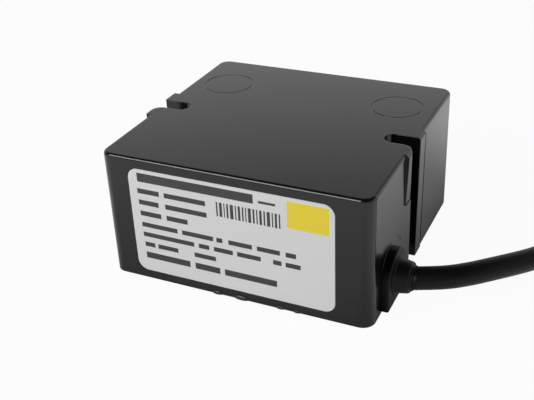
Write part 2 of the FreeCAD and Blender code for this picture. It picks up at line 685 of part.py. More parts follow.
def make_lead_outside():
    radius = number(LEAD_RADIUS)
    nose = point(NOSE_END, "gland_y", "gland_z")
    run = [nose] + [Vector(*place) for place in RUN_POINTS]
    print("lead run radii", [round(r, 1) for r in arc_radii(run)], "length", round(route_wire(run).Length, 1))
    ring = coil_shape()
    tail = tail_points()
    inside_nose = Part.makeBox(10, 20, 20, nose - Vector(10, 10, 10))
    start = nose - (run[1] - nose).normalize() * radius
    pieces = [
        shape_part("lead_run", tube([start] + run[1:], radius).cut([ring, inside_nose])),
        shape_part("lead_coil", ring),
        shape_part("lead_tail", tube(tail, radius).cut(ring)),
    ]
    return pieces + make_free_cores(tail)


FREE_CORES = (
    ("core_brown", 0, 0.02),
    ("core_blue", 120, 0.25),
    ("core_green_yellow", 240, -0.22),
)


def make_free_cores(tail):
    """Three stripped cores that fan out to the floor, each with a ferrule at its tip."""
    core = number("core_diameter") / 2
    spread = number(LEAD_RADIUS) - core - 0.15
    ahead = (tail[-1] - tail[-2]).normalize()
    up = Vector(0, 0, 1)
    aside = up.cross(ahead)
    length = number("free_core_length")
    ferrule_length = number("ferrule_length")
    pieces = []
    ferrules = []
    for label, clock, fan in FREE_CORES:
        angle = math.radians(clock)
        start = tail[-1] + aside * (spread * math.sin(angle)) + up * (spread * math.cos(angle))
        tip = start + (ahead + aside * fan) * (length + ferrule_length)
        tip.z = core
        direction = (tip - start).normalize()
        end = start + direction * length
        pieces.append(shape_part(label, Part.makeCylinder(core, length, start, direction)))
        ferrules.append(Part.makeCylinder(number("ferrule_radius"), ferrule_length, end, direction))
    pieces.append(shape_part("core_ferrules", Part.makeCompound(ferrules)))
    return pieces


# Circuit board and what it carries. Components hang from its lower side.
def make_board():
    body = body_named("circuit_board")
    outline = sketch_on(body, "XY_Plane", "board_outline", BOARD_LEVEL)
    add_rectangle(outline, (BOARD_LEFT, BOARD_FRONT), (f"{BOARD_LEFT} + board_length", BOARD_BACK))
    pad(body, outline, "board_sheet", "board_thickness")
    holes = sketch_on(body, "XY_Plane", "stake_holes", BOARD_LEVEL)
    for index, (x, y) in enumerate(stake_places()):
        add_circle(holes, x, y, "stake_radius + stake_gap", f"hole{index + 1}")
    pocket(body, holes, "stake_hole_cuts", "board_thickness", reverse=True)
    return body


def on_board(x, y):
    """Place measured from the board's left front corner."""
    return f"({BOARD_LEFT} + {x})", f"({BOARD_FRONT} + {y})"


def leg(name, x, y, low):
    """Square lead from a component up to the board."""
    return block(name, (f"{x} - leg_width / 2", f"{y} - leg_width / 2", low),
                 (f"{x} + leg_width / 2", f"{y} + leg_width / 2", BOARD_LEVEL))


def make_radial_box(label, x, y, length, width, height, pitch, corner=1.0):
    """Box component with two leads down from the board."""
    centre_x, centre_y = on_board(x, y)
    stand_off = 0.6
    solid = block(f"{label}_body", (f"{centre_x} - {length} / 2", f"{centre_y} - {width} / 2",
                                    f"{BOARD_LEVEL} - {stand_off} - {height}"),
                  (f"{centre_x} + {length} / 2", f"{centre_y} + {width} / 2", f"{BOARD_LEVEL} - {stand_off}"))
    legs = []
    for index, side in enumerate((-1, 1)):
        legs.append(leg(f"{label}_leg{index + 1}", f"{centre_x} + {side * pitch / 2}", centre_y,
                        f"{BOARD_LEVEL} - {stand_off} - 1"))
    doc.recompute()
    rounded = doc.addObject("Part::Fillet", f"{label}_rounded")
    rounded.Base = solid
    upright = [(index, corner, corner) for index, edge in enumerate(solid.Shape.Edges, start=1)
               if is_upright(edge)]
    rounded.Edges = upright
    return fuse(label, [rounded] + legs)


def axial_shape(x, y, radius, length, pitch, axis):
    """Round body lying along an axis, on a lead whose ends turn up to the board."""
    centre_x, centre_y = on_board(x, y)
    centre = point(centre_x, centre_y, f"{BOARD_LEVEL} - {radius} - 0.8")
    ahead = Vector(1, 0, 0) if axis == "x" else Vector(0, 1, 0)
    aside = Vector(ahead.y, ahead.x, 0)
    width = number("leg_width")
    rise = number(BOARD_LEVEL) - centre.z
    outer = pitch / 2
    inner = outer - width
    low = -width / 2
    outline = ((-outer, rise), (-outer, low), (outer, low), (outer, rise),
               (inner, rise), (inner, -low), (-inner, -low), (-inner, rise), (-outer, rise))
    corner = centre - aside * (width / 2)
    places = [corner + ahead * along + Vector(0, 0, up) for along, up in outline]
    lead = Part.Face(Part.makePolygon(places)).extrude(aside * width)
    return lead.fuse(Part.makeCylinder(radius, length, centre - ahead * (length / 2), ahead))


def make_axial(label, x, y, radius, length, pitch, axis="x"):
    return shape_part(label, axial_shape(x, y, radius, length, pitch, axis))


def make_axial_row(label, x, y, radius, length, pitch, count, step):
    """Like components side by side, all lying along Y."""
    members = [axial_shape(x + index * step, y, radius, length, pitch, "y") for index in range(count)]
    return shape_part(label, Part.makeCompound(members))


def make_varistor(x, y, radius, thickness):
    centre_x, centre_y = on_board(x, y)
    level = f"({BOARD_LEVEL} - 1.2 - {radius})"
    disc = rod("varistor_disc", (centre_x, f"{centre_y} - {thickness} / 2", level), radius, thickness, "y")
    legs = []
    for index, side in enumerate((-1, 1)):
        legs.append(leg(f"varistor_leg{index + 1}", f"{centre_x} + {side} * {radius} / 2", centre_y, level))
    return fuse("varistor", [disc] + legs)


def make_thyristor(x, y):
    """Moulded power device with its metal tab, hanging on three legs."""
    centre_x, centre_y = on_board(x, y)
    leg_length = 4.0
    width = 10.0
    moulding = 8.8
    body_high = f"{BOARD_LEVEL} - {leg_length}"
    case_block = block("thyristor_moulding", (f"{centre_x} - {width / 2}", f"{centre_y} - 1.5",
                                              f"{body_high} - {moulding}"),
                       (f"{centre_x} + {width / 2}", f"{centre_y} + 1.7", body_high))
    tab = block("thyristor_tab_plate", (f"{centre_x} - {width / 2}", f"{centre_y} - 2.8", f"{body_high} - 15"),
                (f"{centre_x} + {width / 2}", f"{centre_y} - 1.5", body_high))
    hole = rod("thyristor_tab_hole", (centre_x, f"{centre_y} - 4", f"{body_high} - 12"), "1.8", "3", "y")
    legs = []
    for index in (-1, 0, 1):
        legs.append(block(f"thyristor_leg{index + 2}", (f"{centre_x} + {index * 2.54 - 0.4}", centre_y, body_high),
                          (f"{centre_x} + {index * 2.54 + 0.4}", f"{centre_y} + 0.5", BOARD_LEVEL)))
    return fuse("thyristor", [case_block, cut("thyristor_tab", tab, hole)] + legs)


def make_choke(x, y):
    """Ferrite drum with its winding, standing on the board."""
    centre_x, centre_y = on_board(x, y)
    drum_radius = 4.6
    drum_height = 10.0
    flange = 1.5
    neck_radius = 2.2
    foot = f"({BOARD_LEVEL} - 0.5 - {drum_height})"
    flanges = [rod("choke_flange1", (centre_x, centre_y, foot), drum_radius, flange),
               rod("choke_flange2", (centre_x, centre_y, f"{foot} + {drum_height - flange}"), drum_radius, flange)]
    neck = rod("choke_neck", (centre_x, centre_y, foot), neck_radius, drum_height)
    legs = [leg(f"choke_leg{index + 1}", f"{centre_x} + {side * 3}", centre_y, f"{BOARD_LEVEL} - 1")
            for index, side in enumerate((-1, 1))]
    core = fuse("choke_core", flanges + [neck] + legs)
    outside = rod("choke_turns", (centre_x, centre_y, f"{foot} + {flange}"), 4.0, drum_height - 2 * flange)
    inside = rod("choke_turns_bore", (centre_x, centre_y, foot), neck_radius, drum_height)
    return [core, cut("choke_winding", outside, inside)]


def make_board_parts():
    parts = [
        make_board(),
        make_radial_box("storage_capacitor", 22, 7.2, 26.5, 11, 19, 22.5),
        make_radial_box("filter_capacitor", 18, 21.6, 18, 7, 14, 15),
        make_varistor(42.5, 3.8, 5.0, 4.0),
        make_axial("fuse_link", 31.5, 21.0, 1.8, 7.5, 11.0, "y"),
        make_axial_row("rectifier_diodes", 37.2, 22.6, 1.35, 5.0, 8.2, 4, 3.6),
        make_axial_row("resistors", 38.0, 12.2, 1.6, 6.4, 9.6, 2, 4.2),
        make_thyristor(57.5, 5.2),
        make_axial("trigger_diode", 46.6, 12.2, 1.6, 6.4, 9.6, "y"),
    ]
    return parts + make_choke(55.0, 15.0)


# Ferrite core, former and windings
def make_core_half(label, side):
    """U of ferrite: a back and two legs that end at the film in the middle."""
    body = body_named(label)
    outline = sketch_on(body, "XY_Plane", f"{label}_outline", "core_z - core_height / 2")
    outer = f"(core_x + {side} * core_length / 2)"
    back = f"(core_x + {side} * (core_length / 2 - core_leg))"
    middle = f"(core_x + {side} * gap_film / 2)"
    add_polygon(outline, (
        (middle, "core_front"), (outer, "core_front"), (outer, CORE_BACK), (middle, CORE_BACK),
        (middle, f"{CORE_BACK} - core_leg"), (back, f"{CORE_BACK} - core_leg"),
        (back, "core_front + core_leg"), (middle, "core_front + core_leg"),
    ))
    pad(body, outline, f"{label}_ferrite", "core_height")
    return body


def make_gap_films():
    """Film between the core's halves, one piece at each leg."""
    films = []
    for name, front in (("return", "core_front"), ("wound", f"{CORE_BACK} - core_leg")):
        films.append(block(f"film_{name}", ("core_x - gap_film / 2", front, "core_z - core_height / 2"),
                           ("core_x + gap_film / 2", f"{front} + core_leg", "core_z + core_height / 2")))
    group = doc.addObject("Part::Compound", "core_gap_film")
    group.Links = films
    return group


def make_core_clip():
    """Spring strip round the front and both backs of the core, with hooked tips and an earth tab."""
    body = body_named("core_clip")
    strip = sketch_on(body, "XY_Plane", "clip_outline", "core_z - clip_width / 2")
    left = f"({CORE_LEFT} - clip_thickness)"
    right = f"({CORE_RIGHT} + clip_thickness)"
    front = "(core_front - clip_thickness)"
    tip = f"({CORE_BACK} + clip_thickness)"
    add_polygon(strip, (
        (left, front), (right, front), (right, tip), (f"{CORE_RIGHT} - clip_hook", tip),
        (f"{CORE_RIGHT} - clip_hook", CORE_BACK), (CORE_RIGHT, CORE_BACK), (CORE_RIGHT, "core_front"),
        (CORE_LEFT, "core_front"), (CORE_LEFT, CORE_BACK), (f"{CORE_LEFT} + clip_hook", CORE_BACK),
        (f"{CORE_LEFT} + clip_hook", tip), (left, tip),
    ))
    pad(body, strip, "clip_strip", "clip_width")
    tab = sketch_on(body, "XY_Plane", "earth_tab_outline", "core_z - clip_width / 2 - earth_tab_length")
    add_rectangle(tab, ("core_x - earth_tab_width / 2", front), ("core_x + earth_tab_width / 2", "core_front"))
    pad(body, tab, "earth_tab", "earth_tab_length + 1")
    return body


def chamber_starts():
    """Left end of each narrow chamber, beside its left flange."""
    starts = []
    for index in range(int(number("chamber_count"))):
        starts.append(f"({FORMER_LEFT} + former_flange + {index} * {CHAMBER_PITCH})")
    return starts


PRIMARY_START = f"({FORMER_RIGHT} - former_flange - primary_chamber)"


HALF_BORE = "(core_leg / 2 + former_gap)"
HALF_BORE_HEIGHT = "(core_height / 2 + former_gap)"


def bevelled_square(half, bevel):
    """Corners of a square with cut corners round the wound leg, as seen along X."""
    near_y, far_y = f"({LEG_Y} - {half})", f"({LEG_Y} + {half})"
    low, high = f"(core_z - {half})", f"(core_z + {half})"
    return ((f"{near_y} + {bevel}", low), (f"{far_y} - {bevel}", low), (far_y, f"{low} + {bevel}"),
            (far_y, f"{high} - {bevel}"), (f"{far_y} - {bevel}", high), (f"{near_y} + {bevel}", high),
            (near_y, f"{high} - {bevel}"), (near_y, f"{low} + {bevel}"))


def make_former():
    """Square hub with flanges that part the winding into chambers, and a block for the pins at each end."""
    body = body_named("winding_former")
    half_hub = f"({HALF_BORE} + former_hub_wall)"
    half_hub_height = f"({HALF_BORE_HEIGHT} + former_hub_wall)"
    hub = sketch_on(body, "YZ_Plane", "hub_outline", FORMER_LEFT)
    add_rectangle(hub, (f"{LEG_Y} - {half_hub}", f"core_z - {half_hub_height}"),
                  (f"{LEG_Y} + {half_hub}", f"core_z + {half_hub_height}"))
    pad(body, hub, "former_hub", FORMER_LENGTH)
    for name, start in (("left_end", FORMER_LEFT), ("right_end", f"{FORMER_RIGHT} - former_flange")):
        flange = sketch_on(body, "YZ_Plane", f"{name}_outline", start)
        add_polygon(flange, bevelled_square("former_flange_half", "former_flange_bevel"))
        pad(body, flange, f"{name}_flange", "former_flange")
    divider = sketch_on(body, "YZ_Plane", "divider_outline", f"{FORMER_LEFT} + {CHAMBER_PITCH}")
    add_polygon(divider, bevelled_square("former_flange_half", "former_flange_bevel"))
    first = pad(body, divider, "divider_flange", "former_flange")
    row = body.newObject("PartDesign::LinearPattern", "divider_row")
    row.Originals = [first]
    row.Direction = (origin_plane(body, "X_Axis"), [""])
    bind(row, {"Length": f"{CHAMBER_PITCH} * (chamber_count - 1)", "Occurrences": "chamber_count"})
    body.Tip = row
    doc.recompute()
    bore = sketch_on(body, "YZ_Plane", "leg_bore", f"{FORMER_LEFT} - 1")
    add_rectangle(bore, (f"{LEG_Y} - {HALF_BORE}", f"core_z - {HALF_BORE_HEIGHT}"),
                  (f"{LEG_Y} + {HALF_BORE}", f"core_z + {HALF_BORE_HEIGHT}"))
    pocket(body, bore, "former_bore", f"{FORMER_LENGTH} + 2", reverse=True)
    return body


def flat_prism(corners, start, length):
    """Solid of an outline seen along X, from a place on X."""
    places = [point(start, y, z) for y, z in corners]
    return Part.Face(Part.makePolygon(places + places[:1])).extrude(Vector(number(length), 0, 0))


def wound_ring(half, bevel, start, length):
    """Winding on the hub, as one plain ring with bevelled corners."""
    low = point(start, f"{LEG_Y} - {HALF_BORE} - former_hub_wall - winding_gap",
                f"core_z - {HALF_BORE_HEIGHT} - former_hub_wall - winding_gap")
    high = point(f"{start} + {length}", f"{LEG_Y} + {HALF_BORE} + former_hub_wall + winding_gap",
                 f"core_z + {HALF_BORE_HEIGHT} + former_hub_wall + winding_gap")
    span = high - low
    return flat_prism(bevelled_square(half, bevel), start, length).cut(Part.makeBox(span.x, span.y, span.z, low))


def make_windings():
    primary = wound_ring("primary_half", "former_flange_bevel", f"({PRIMARY_START} + winding_gap)",
                         "(primary_chamber - 2 * winding_gap)")
    sections = []
    for start in chamber_starts():
        sections.append(wound_ring("secondary_half", "former_flange_bevel", f"({start} + winding_gap)",
                                   f"({CHAMBER_PITCH} - former_flange - 2 * winding_gap)"))
    return [shape_part("primary_winding", primary),
            shape_part("secondary_winding", Part.makeCompound(sections))]


PIN_PLACES = (
    (f"({FORMER_RIGHT} - former_flange / 2)", -4.0),
    (f"({FORMER_RIGHT} - former_flange / 2)", 4.0),
    (f"({FORMER_LEFT} + former_flange / 2)", -4.0),
)


def make_former_pins():
    """Pins below the former's ends: two for the primary, one for the secondary's start."""
    pins = []
    for index, (x, offset) in enumerate(PIN_PLACES):
        y = f"{LEG_Y} + {offset}"
        top = "core_z - former_flange_half"
        pins.append(block(f"former_pin{index + 1}",
                          (f"{x} - pin_width / 2", f"{y} - pin_width / 2", f"{top} - pin_length"),
                          (f"{x} + pin_width / 2", f"{y} + pin_width / 2", top)))
    group = doc.addObject("Part::Compound", "former_pins")
    group.Links = pins
    return group


# High-voltage terminal and the wires inside
def make_terminal():
    """Spike on a disc in the floor of the well, with a tail through the floor for the wire."""
    floor_y = "(case_depth / 2 - well_depth)"
    disc = rod("terminal_disc", (WELL_X, floor_y, "well_z"), "well_radius * 0.55", "1.2", "y")
    spike = rod("terminal_spike", (WELL_X, floor_y, "well_z"), "spike_radius", "spike_length", "y")
    tip = rod("terminal_tip", (WELL_X, f"{floor_y} + spike_length", "well_z"), "spike_radius", "spike_tip", "y",
              "spike_radius / 4")
    tail = rod("terminal_tail_rod", (WELL_X, f"{WELL_BACK} - terminal_tail", "well_z"), "tail_radius",
               "terminal_tail + well_floor + 0.5", "y")
    return fuse("hv_terminal", [disc, spike, tip, tail])


def make_inner_wires():
    core = number("core_diameter") / 2
    hv = number("hv_wire_radius")
    sheath_end = point(SHEATH_END, "gland_y", "gland_z")
    spread = number(LEAD_RADIUS) - core - 0.15
    pieces = []

    board_edge = point(f"{BOARD_LEFT} + board_length - 3", BOARD_FRONT, BOARD_LEVEL)
    for label, clock, y in (("inner_core_brown", 330, 14.5), ("inner_core_blue", 210, 9.0)):
        angle = math.radians(clock)
        start = sheath_end + Vector(0, spread * math.sin(angle), spread * math.cos(angle))
        end = board_edge + Vector(0, y, 0)
        route = [start, start + Vector(-2.5, 0, 0), Vector(end.x, end.y, start.z), end]
        pieces.append(shape_part(label, mitred_wire(route, core)))

    start = sheath_end + Vector(0, spread, 0)
    tab = point("core_x - earth_tab_width / 2", "core_front - clip_thickness",
                "core_z - clip_width / 2 - earth_tab_length / 2")
    tab.y -= core
    aisle = start.x - 4.4
    route = [start, start + Vector(-2.8, 0, 0), Vector(aisle, start.y + 9.5, start.z + 2),
             Vector(aisle, tab.y, tab.z), tab]
    pieces.append(shape_part("inner_core_earth", mitred_wire(route, core)))

    wire = core * 0.75
    for index, (side, inset) in enumerate(((-1, 6.2), (1, 1.6))):
        pin_x, offset = PIN_PLACES[index]
        pin = point(pin_x, LEG_Y, "core_z - former_flange_half - pin_length / 2")
        pin += Vector(side * (number("pin_width") / 2 + wire), offset + 1.2, 0)
        end = point(f"{BOARD_LEFT} + board_length - {inset}", f"{BOARD_BACK} - 1.5", BOARD_LEVEL)
        route = [pin, Vector(pin.x, number("core_front") - 2, pin.z), Vector(end.x, end.y, pin.z + 2), end]
        pieces.append(shape_part(f"primary_lead_{index + 1}", mitred_wire(route, wire)))

    pin = point(PIN_PLACES[2][0], LEG_Y, "core_z - former_flange_half - pin_length / 2")
    pin.y += PIN_PLACES[2][1]
    tail_end = point(WELL_X, f"{WELL_BACK} - terminal_tail", "well_z")
    start = pin + Vector(-number("pin_width") / 2, 0, 0)
    turn_y = tail_end.y - 9
    route = [start, Vector(tail_end.x + 9, start.y, start.z), Vector(tail_end.x, turn_y, start.z + 4),
             Vector(tail_end.x, turn_y, tail_end.z), tail_end]
    pieces.append(shape_part("hv_lead", mitred_wire(route, hv)))
    return pieces


# Resin: what is left of the cavity once every piece is in
def surrounding_boxes(item):
    """A plain box round each solid of a small component, for the space that it takes in the resin."""
    boxes = []
    for solid in item.Shape.Solids:
        box = solid.optimalBoundingBox(True, False)
        low = Vector(box.XMin, box.YMin, box.ZMin)
        boxes.append(Part.makeBox(box.XLength, box.YLength, box.ZLength, low))
    return boxes


BOXED = ("storage_capacitor", "filter_capacitor", "varistor", "fuse_link", "rectifier_diodes", "resistors",
         "thyristor", "trigger_diode", "choke_core")
INSIDE_OTHERS = ("choke_winding", "winding_former", "primary_winding", "secondary_winding")


def make_resin(case, inner_parts):
    low = point(f"-{INNER_X}", f"-{INNER_Y}", "resin_recess")
    high = point(INNER_X, INNER_Y, CEILING)
    span = high - low
    fill = Part.makeBox(span.x, span.y, span.z, low)
    former_space = flat_prism(bevelled_square("former_flange_half", "former_flange_bevel"), FORMER_LEFT,
                              FORMER_LENGTH)
    tools = [case.Shape, former_space]
    for item in inner_parts:
        if item.Label in BOXED:
            tools += surrounding_boxes(item)
        elif item.Label not in INSIDE_OTHERS:
            tools.append(item.Shape)
    body = max(fill.cut(tools).Solids, key=lambda solid: solid.Volume)
    return shape_part("potting_resin", body)


def main():
    case = make_case()
    inner = [make_gland(), make_lead_inside()]
    inner += make_board_parts()
    inner += [make_core_half("core_half_left", -1), make_core_half("core_half_right", 1), make_gap_films(),
              make_core_clip(), make_former()]
    inner += make_windings()
    inner += [make_former_pins(), make_terminal()]
    doc.recompute()
    inner += make_inner_wires()
    outer = [make_label()] + make_lead_outside()
    doc.recompute()
    resin = make_resin(case, inner)
    doc.recompute()
    write_parts([case, resin] + inner + outer)


def write_parts(parts):
    for item in doc.Objects:
        if "Invalid" in item.State or "Error" in item.State:
            raise RuntimeError(f"{item.Name} failed: {item.State}")
    os.makedirs("parts", exist_ok=True)
    for item in parts:
        shape = item.Shape
        if shape.isNull() or not shape.isValid():
            raise RuntimeError(f"{item.Label} has no valid shape")
        shape.exportStep(f"parts/{item.Label}.step")
        box = shape.BoundBox
        print(f"{item.Label}: {len(shape.Solids)} solid(s), {shape.Volume:.1f} mm3,"
              f" x {box.XMin:.2f}..{box.XMax:.2f} y {box.YMin:.2f}..{box.YMax:.2f} z {box.ZMin:.2f}..{box.ZMax:.2f}")


main()
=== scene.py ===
"""Looks of the ignition transformer: camera, lead, gland, case, label, materials and a plain studio."""
import math

import bpy
from mathutils import Matrix, Vector


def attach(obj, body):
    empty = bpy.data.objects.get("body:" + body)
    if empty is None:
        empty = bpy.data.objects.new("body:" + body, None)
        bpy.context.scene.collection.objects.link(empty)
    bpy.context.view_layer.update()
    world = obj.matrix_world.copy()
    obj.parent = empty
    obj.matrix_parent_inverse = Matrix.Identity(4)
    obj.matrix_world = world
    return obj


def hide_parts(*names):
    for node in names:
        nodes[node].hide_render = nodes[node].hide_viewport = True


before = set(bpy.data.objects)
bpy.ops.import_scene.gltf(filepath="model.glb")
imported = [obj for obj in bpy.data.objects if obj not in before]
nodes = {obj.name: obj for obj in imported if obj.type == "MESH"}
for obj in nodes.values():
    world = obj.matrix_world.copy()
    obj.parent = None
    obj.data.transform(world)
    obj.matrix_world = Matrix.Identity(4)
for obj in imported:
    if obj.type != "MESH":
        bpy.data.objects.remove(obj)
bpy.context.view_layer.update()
MM = 0.001


# Camera, solved from the case's corners in the photograph; its place is in millimetres, its range in metres

CAMERA_RIGHT = (0.90698, 0.41913, -0.04137)
CAMERA_UP = (-0.17389, 0.46212, 0.86960)
CAMERA_BACK = (0.38360, -0.78152, 0.49202)
CAMERA_PLACE = (108.3, -236.9, 160.0)
SENSOR_WIDTH = 36
FOCAL_LENGTH = 59.67
NEAREST_SEEN = 0.01
FARTHEST_SEEN = 20.0


def make_camera():
    place = Matrix((CAMERA_RIGHT, CAMERA_UP, CAMERA_BACK)).transposed().to_4x4()
    place.translation = Vector(CAMERA_PLACE) * MM
    camera_data = bpy.data.cameras.new("photo_camera")
    camera_data.sensor_width = SENSOR_WIDTH
    camera_data.lens = FOCAL_LENGTH
    camera_data.clip_start = NEAREST_SEEN
    camera_data.clip_end = FARTHEST_SEEN
    camera = bpy.data.objects.new("photo_camera", camera_data)
    camera.matrix_world = place
    bpy.context.collection.objects.link(camera)
    bpy.context.scene.camera = camera


make_camera()


# Modelling steps that several pieces share; sizes and places are in millimetres

# How close to a plane an edge's end may lie to count as on it
NEAR = 0.1


def deselect():
    bpy.ops.object.select_all(action="DESELECT")


def settle(piece, name):
    """Put the piece's place and size into its mesh, the object itself unturned at the origin."""
    piece.name = name
    bpy.ops.object.transform_apply(location=True, rotation=True, scale=True)


def block(name, size, place, lean=0.0):
    """Block of a size at a place, turned about Y."""
    deselect()
    bpy.ops.mesh.primitive_cube_add(size=1)
    piece = bpy.context.object
    piece.scale = Vector(size) * MM
    piece.rotation_euler.y = lean
    piece.location = Vector(place) * MM
    settle(piece, name)
    return piece


def select_edges(test):
    """In edit mode, select the edges whose two ends pass the test."""
    bpy.ops.mesh.select_mode(type="EDGE")
    bpy.ops.mesh.select_all(action="DESELECT")
    bpy.ops.object.mode_set(mode="OBJECT")
    mesh = bpy.context.object.data
    for edge in mesh.edges:
        ends = [mesh.vertices[index].co / MM for index in edge.vertices]
        edge.select = test(*ends)
    bpy.ops.object.mode_set(mode="EDIT")


def round_edges(test, radius, segments):
    """In edit mode, round the edges whose two ends pass the test."""
    select_edges(test)
    bpy.ops.mesh.bevel(offset=radius * MM, segments=segments, profile=0.5, affect="EDGES")


def smooth_below(degrees):
    """Smooth shading over the edges that turn by less than an angle."""
    bpy.ops.object.shade_smooth_by_angle(angle=math.radians(degrees))


def cut_away(target, cutter):
    """Take the cutter out of the target, then drop the cutter."""
    deselect()
    bpy.context.view_layer.objects.active = target
    target.select_set(True)
    cutting = target.modifiers.new("cut", "BOOLEAN")
    cutting.operation = "DIFFERENCE"
    cutting.solver = "EXACT"
    cutting.object = cutter
    bpy.ops.object.modifier_apply(modifier=cutting.name)
    bpy.data.objects.remove(cutter, do_unlink=True)


# Case: a merged copy of the solid's mesh, with the right lobe shaped and the right wall's fine lines cut in

CASE_HEIGHT = 42.5
CASE_FRONT = -41.75
WALL_AT_TOP = 43.75
SLOT_FRONT = -5.2

# The right lobe: the slope of its top as a plane's outward and upward share, its face and its round
LOBE_SLOPE = (3.2, 1.4)
LOBE_OUT = 44.75
LOBE_LEAN = math.radians(2.2)
LOBE_ROUND = 4.3
LEANING_CUT_SIZE = (2, 8, 19)
LEANING_CUT_PLACE = (LOBE_OUT + 0.81, SLOT_FRONT - 3.9, 35)
CORNER_OUT_MARGIN = 1.0
CORNER_SLOT_MARGIN = 0.3
CORNER_HEIGHT = 20
CORNER_MIDDLE = 34.2

# The upright line behind the right cheek, and the arc that a moulding insert left above the gland
GROOVE_SIZE = (2, 0.8, 39.2)
GROOVE_PLACE = (43.9, 6.35, 21.9)
ARC_RADIUS = 11.1
ARC_DEPTH = 0.22
ARC_CENTRE = (43.94, -23.5, 8.6)
ARC_FOOT = 15.2


def slope_tops():
    """In edit mode, cut the right wall's proud parts back to the wall at their top, by a steep plane."""
    out, up = LOBE_SLOPE
    bpy.ops.mesh.select_all(action="SELECT")
    bpy.ops.mesh.bisect(plane_co=(WALL_AT_TOP * MM, 0, CASE_HEIGHT * MM), plane_no=(out, 0, up),
                        use_fill=True, clear_outer=True)


def lobe_corner():
    """Cutter of the right lobe's corner towards the slot: a block less the round that stays."""
    corner = block("lobe_corner_cutter",
                   (LOBE_ROUND + CORNER_OUT_MARGIN, LOBE_ROUND + CORNER_SLOT_MARGIN, CORNER_HEIGHT),
                   (LOBE_OUT + CORNER_OUT_MARGIN / 2 - LOBE_ROUND / 2,
                    SLOT_FRONT + CORNER_SLOT_MARGIN / 2 - LOBE_ROUND / 2, CORNER_MIDDLE))
    middle = Vector((LOBE_OUT - LOBE_ROUND, SLOT_FRONT - LOBE_ROUND, CORNER_MIDDLE))
    bpy.ops.mesh.primitive_cylinder_add(vertices=128, radius=LOBE_ROUND * MM, depth=1.5 * CORNER_HEIGHT * MM,
                                        location=middle * MM)
    stays = bpy.context.object
    settle(stays, "lobe_round")
    cut_away(corner, stays)
    return corner


def insert_arc():
    """Cutter of the moulding insert's arc: the upper part of a thin ring in the right wall."""
    deselect()
    bpy.ops.mesh.primitive_torus_add(major_radius=ARC_RADIUS * MM, minor_radius=ARC_DEPTH * MM,
                                     major_segments=96, minor_segments=8, rotation=(0, math.pi / 2, 0),
                                     location=Vector(ARC_CENTRE) * MM)
    ring = bpy.context.object
    settle(ring, "ring_cutter")
    bpy.ops.object.mode_set(mode="EDIT")
    bpy.ops.mesh.select_all(action="SELECT")
    bpy.ops.mesh.bisect(plane_co=(0, 0, ARC_FOOT * MM), plane_no=(0, 0, 1), use_fill=True, clear_inner=True)
    bpy.ops.object.mode_set(mode="OBJECT")
    return ring


def make_case():
    deselect()
    case = nodes["case"].copy()
    case.data = case.data.copy()
    case.name = "case_visual"
    bpy.context.collection.objects.link(case)
    bpy.context.view_layer.objects.active = case
    case.select_set(True)
    bpy.ops.object.mode_set(mode="EDIT")
    bpy.ops.mesh.select_all(action="SELECT")
    bpy.ops.mesh.remove_doubles(threshold=0.001 * MM)
    slope_tops()
    bpy.ops.object.mode_set(mode="OBJECT")
    cut_away(case, block("lobe_face_cutter", LEANING_CUT_SIZE, LEANING_CUT_PLACE, LOBE_LEAN))
    cut_away(case, lobe_corner())
    cut_away(case, block("groove_cutter", GROOVE_SIZE, GROOVE_PLACE))
    cut_away(case, insert_arc())
    bpy.ops.mesh.customdata_custom_splitnormals_clear()
    smooth_below(25)
    leaning = case.modifiers.new("flat faces lead", "WEIGHTED_NORMAL")
    leaning.mode = "FACE_AREA"
    leaning.weight = 90
    leaning.keep_sharp = True
    bpy.ops.object.modifier_apply(modifier=leaning.name)
    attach(case, "root")
    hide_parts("case")
    return case


# Drops of resin that ran over the rim: place along the front wall, half width, height and how far proud

DROPS = (
    ("drop_1", -6.0, 1.9, 0.8, 0.6),
    ("drop_2", 2.2, 2.7, 0.95, 0.66),
    ("drop_3", 15.2, 1.5, 0.6, 0.42),
    ("drop_4", 20.6, 1.3, 0.55, 0.38),
)

# How deep a drop's middle lies in the wall, its place up as a share of the drop's height, and the unevenness
DROP_SUNK = 0.02
DROP_MIDDLE = 0.55
DROP_UNEVEN = 0.05


def make_drop(name, along, half_width, height, proud):
    """Flattened, uneven lump on the foot of the front wall; its lower side is cut level."""
    deselect()
    bpy.ops.mesh.primitive_uv_sphere_add(segments=28, ring_count=16, radius=1)
    drop = bpy.context.object
    drop.scale = (half_width * MM, proud * MM, height * MM)
    drop.location = Vector((along, CASE_FRONT + DROP_SUNK, height * DROP_MIDDLE)) * MM
    settle(drop, name)
    bpy.ops.object.mode_set(mode="EDIT")
    bpy.ops.mesh.select_all(action="SELECT")
    bpy.ops.transform.vertex_random(offset=DROP_UNEVEN * MM, seed=round(along))
    bpy.ops.mesh.vertices_smooth(factor=0.5, repeat=2)
    bpy.ops.mesh.bisect(plane_co=(0, 0, 0), plane_no=(0, 0, 1), use_fill=True, clear_inner=True)
    bpy.ops.object.mode_set(mode="OBJECT")
    smooth_below(50)
    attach(drop, "root")
    return drop


# Gland: two flanges on a waist, a tapered collar and a short nose

GLAND_Y = -23.7
GLAND_Z = 8.5
INNER_FLANGE = (40.0, 41.7)
OUTER_FLANGE = (43.9, 46.1)
PLATE_SIZE = 17.0
PLATE_TOP_ROUND = 8.45
PLATE_FOOT_ROUND = 0.4
PLATE_RIM_ROUND = 0.55
WAIST_START = 40.5
WAIST_RADIUS = 6.4
COLLAR_SUNK = 0.2
NOSE_EDGE = 0.3

# Steps along X, with the radius that each reaches, from inside the outer flange to the nose's end
COLLAR_STEPS = ((0.45, 6.3), (0.25, 6.05), (0.05, 5.6), (0.3, 5.42), (3.1, 4.86), (0.35, 4.66), (0.2, 4.4))
NOSE_STEPS = ((0.05, 4.0), (0.12, 3.95), (0.45, 3.95), (0.1, 3.85))


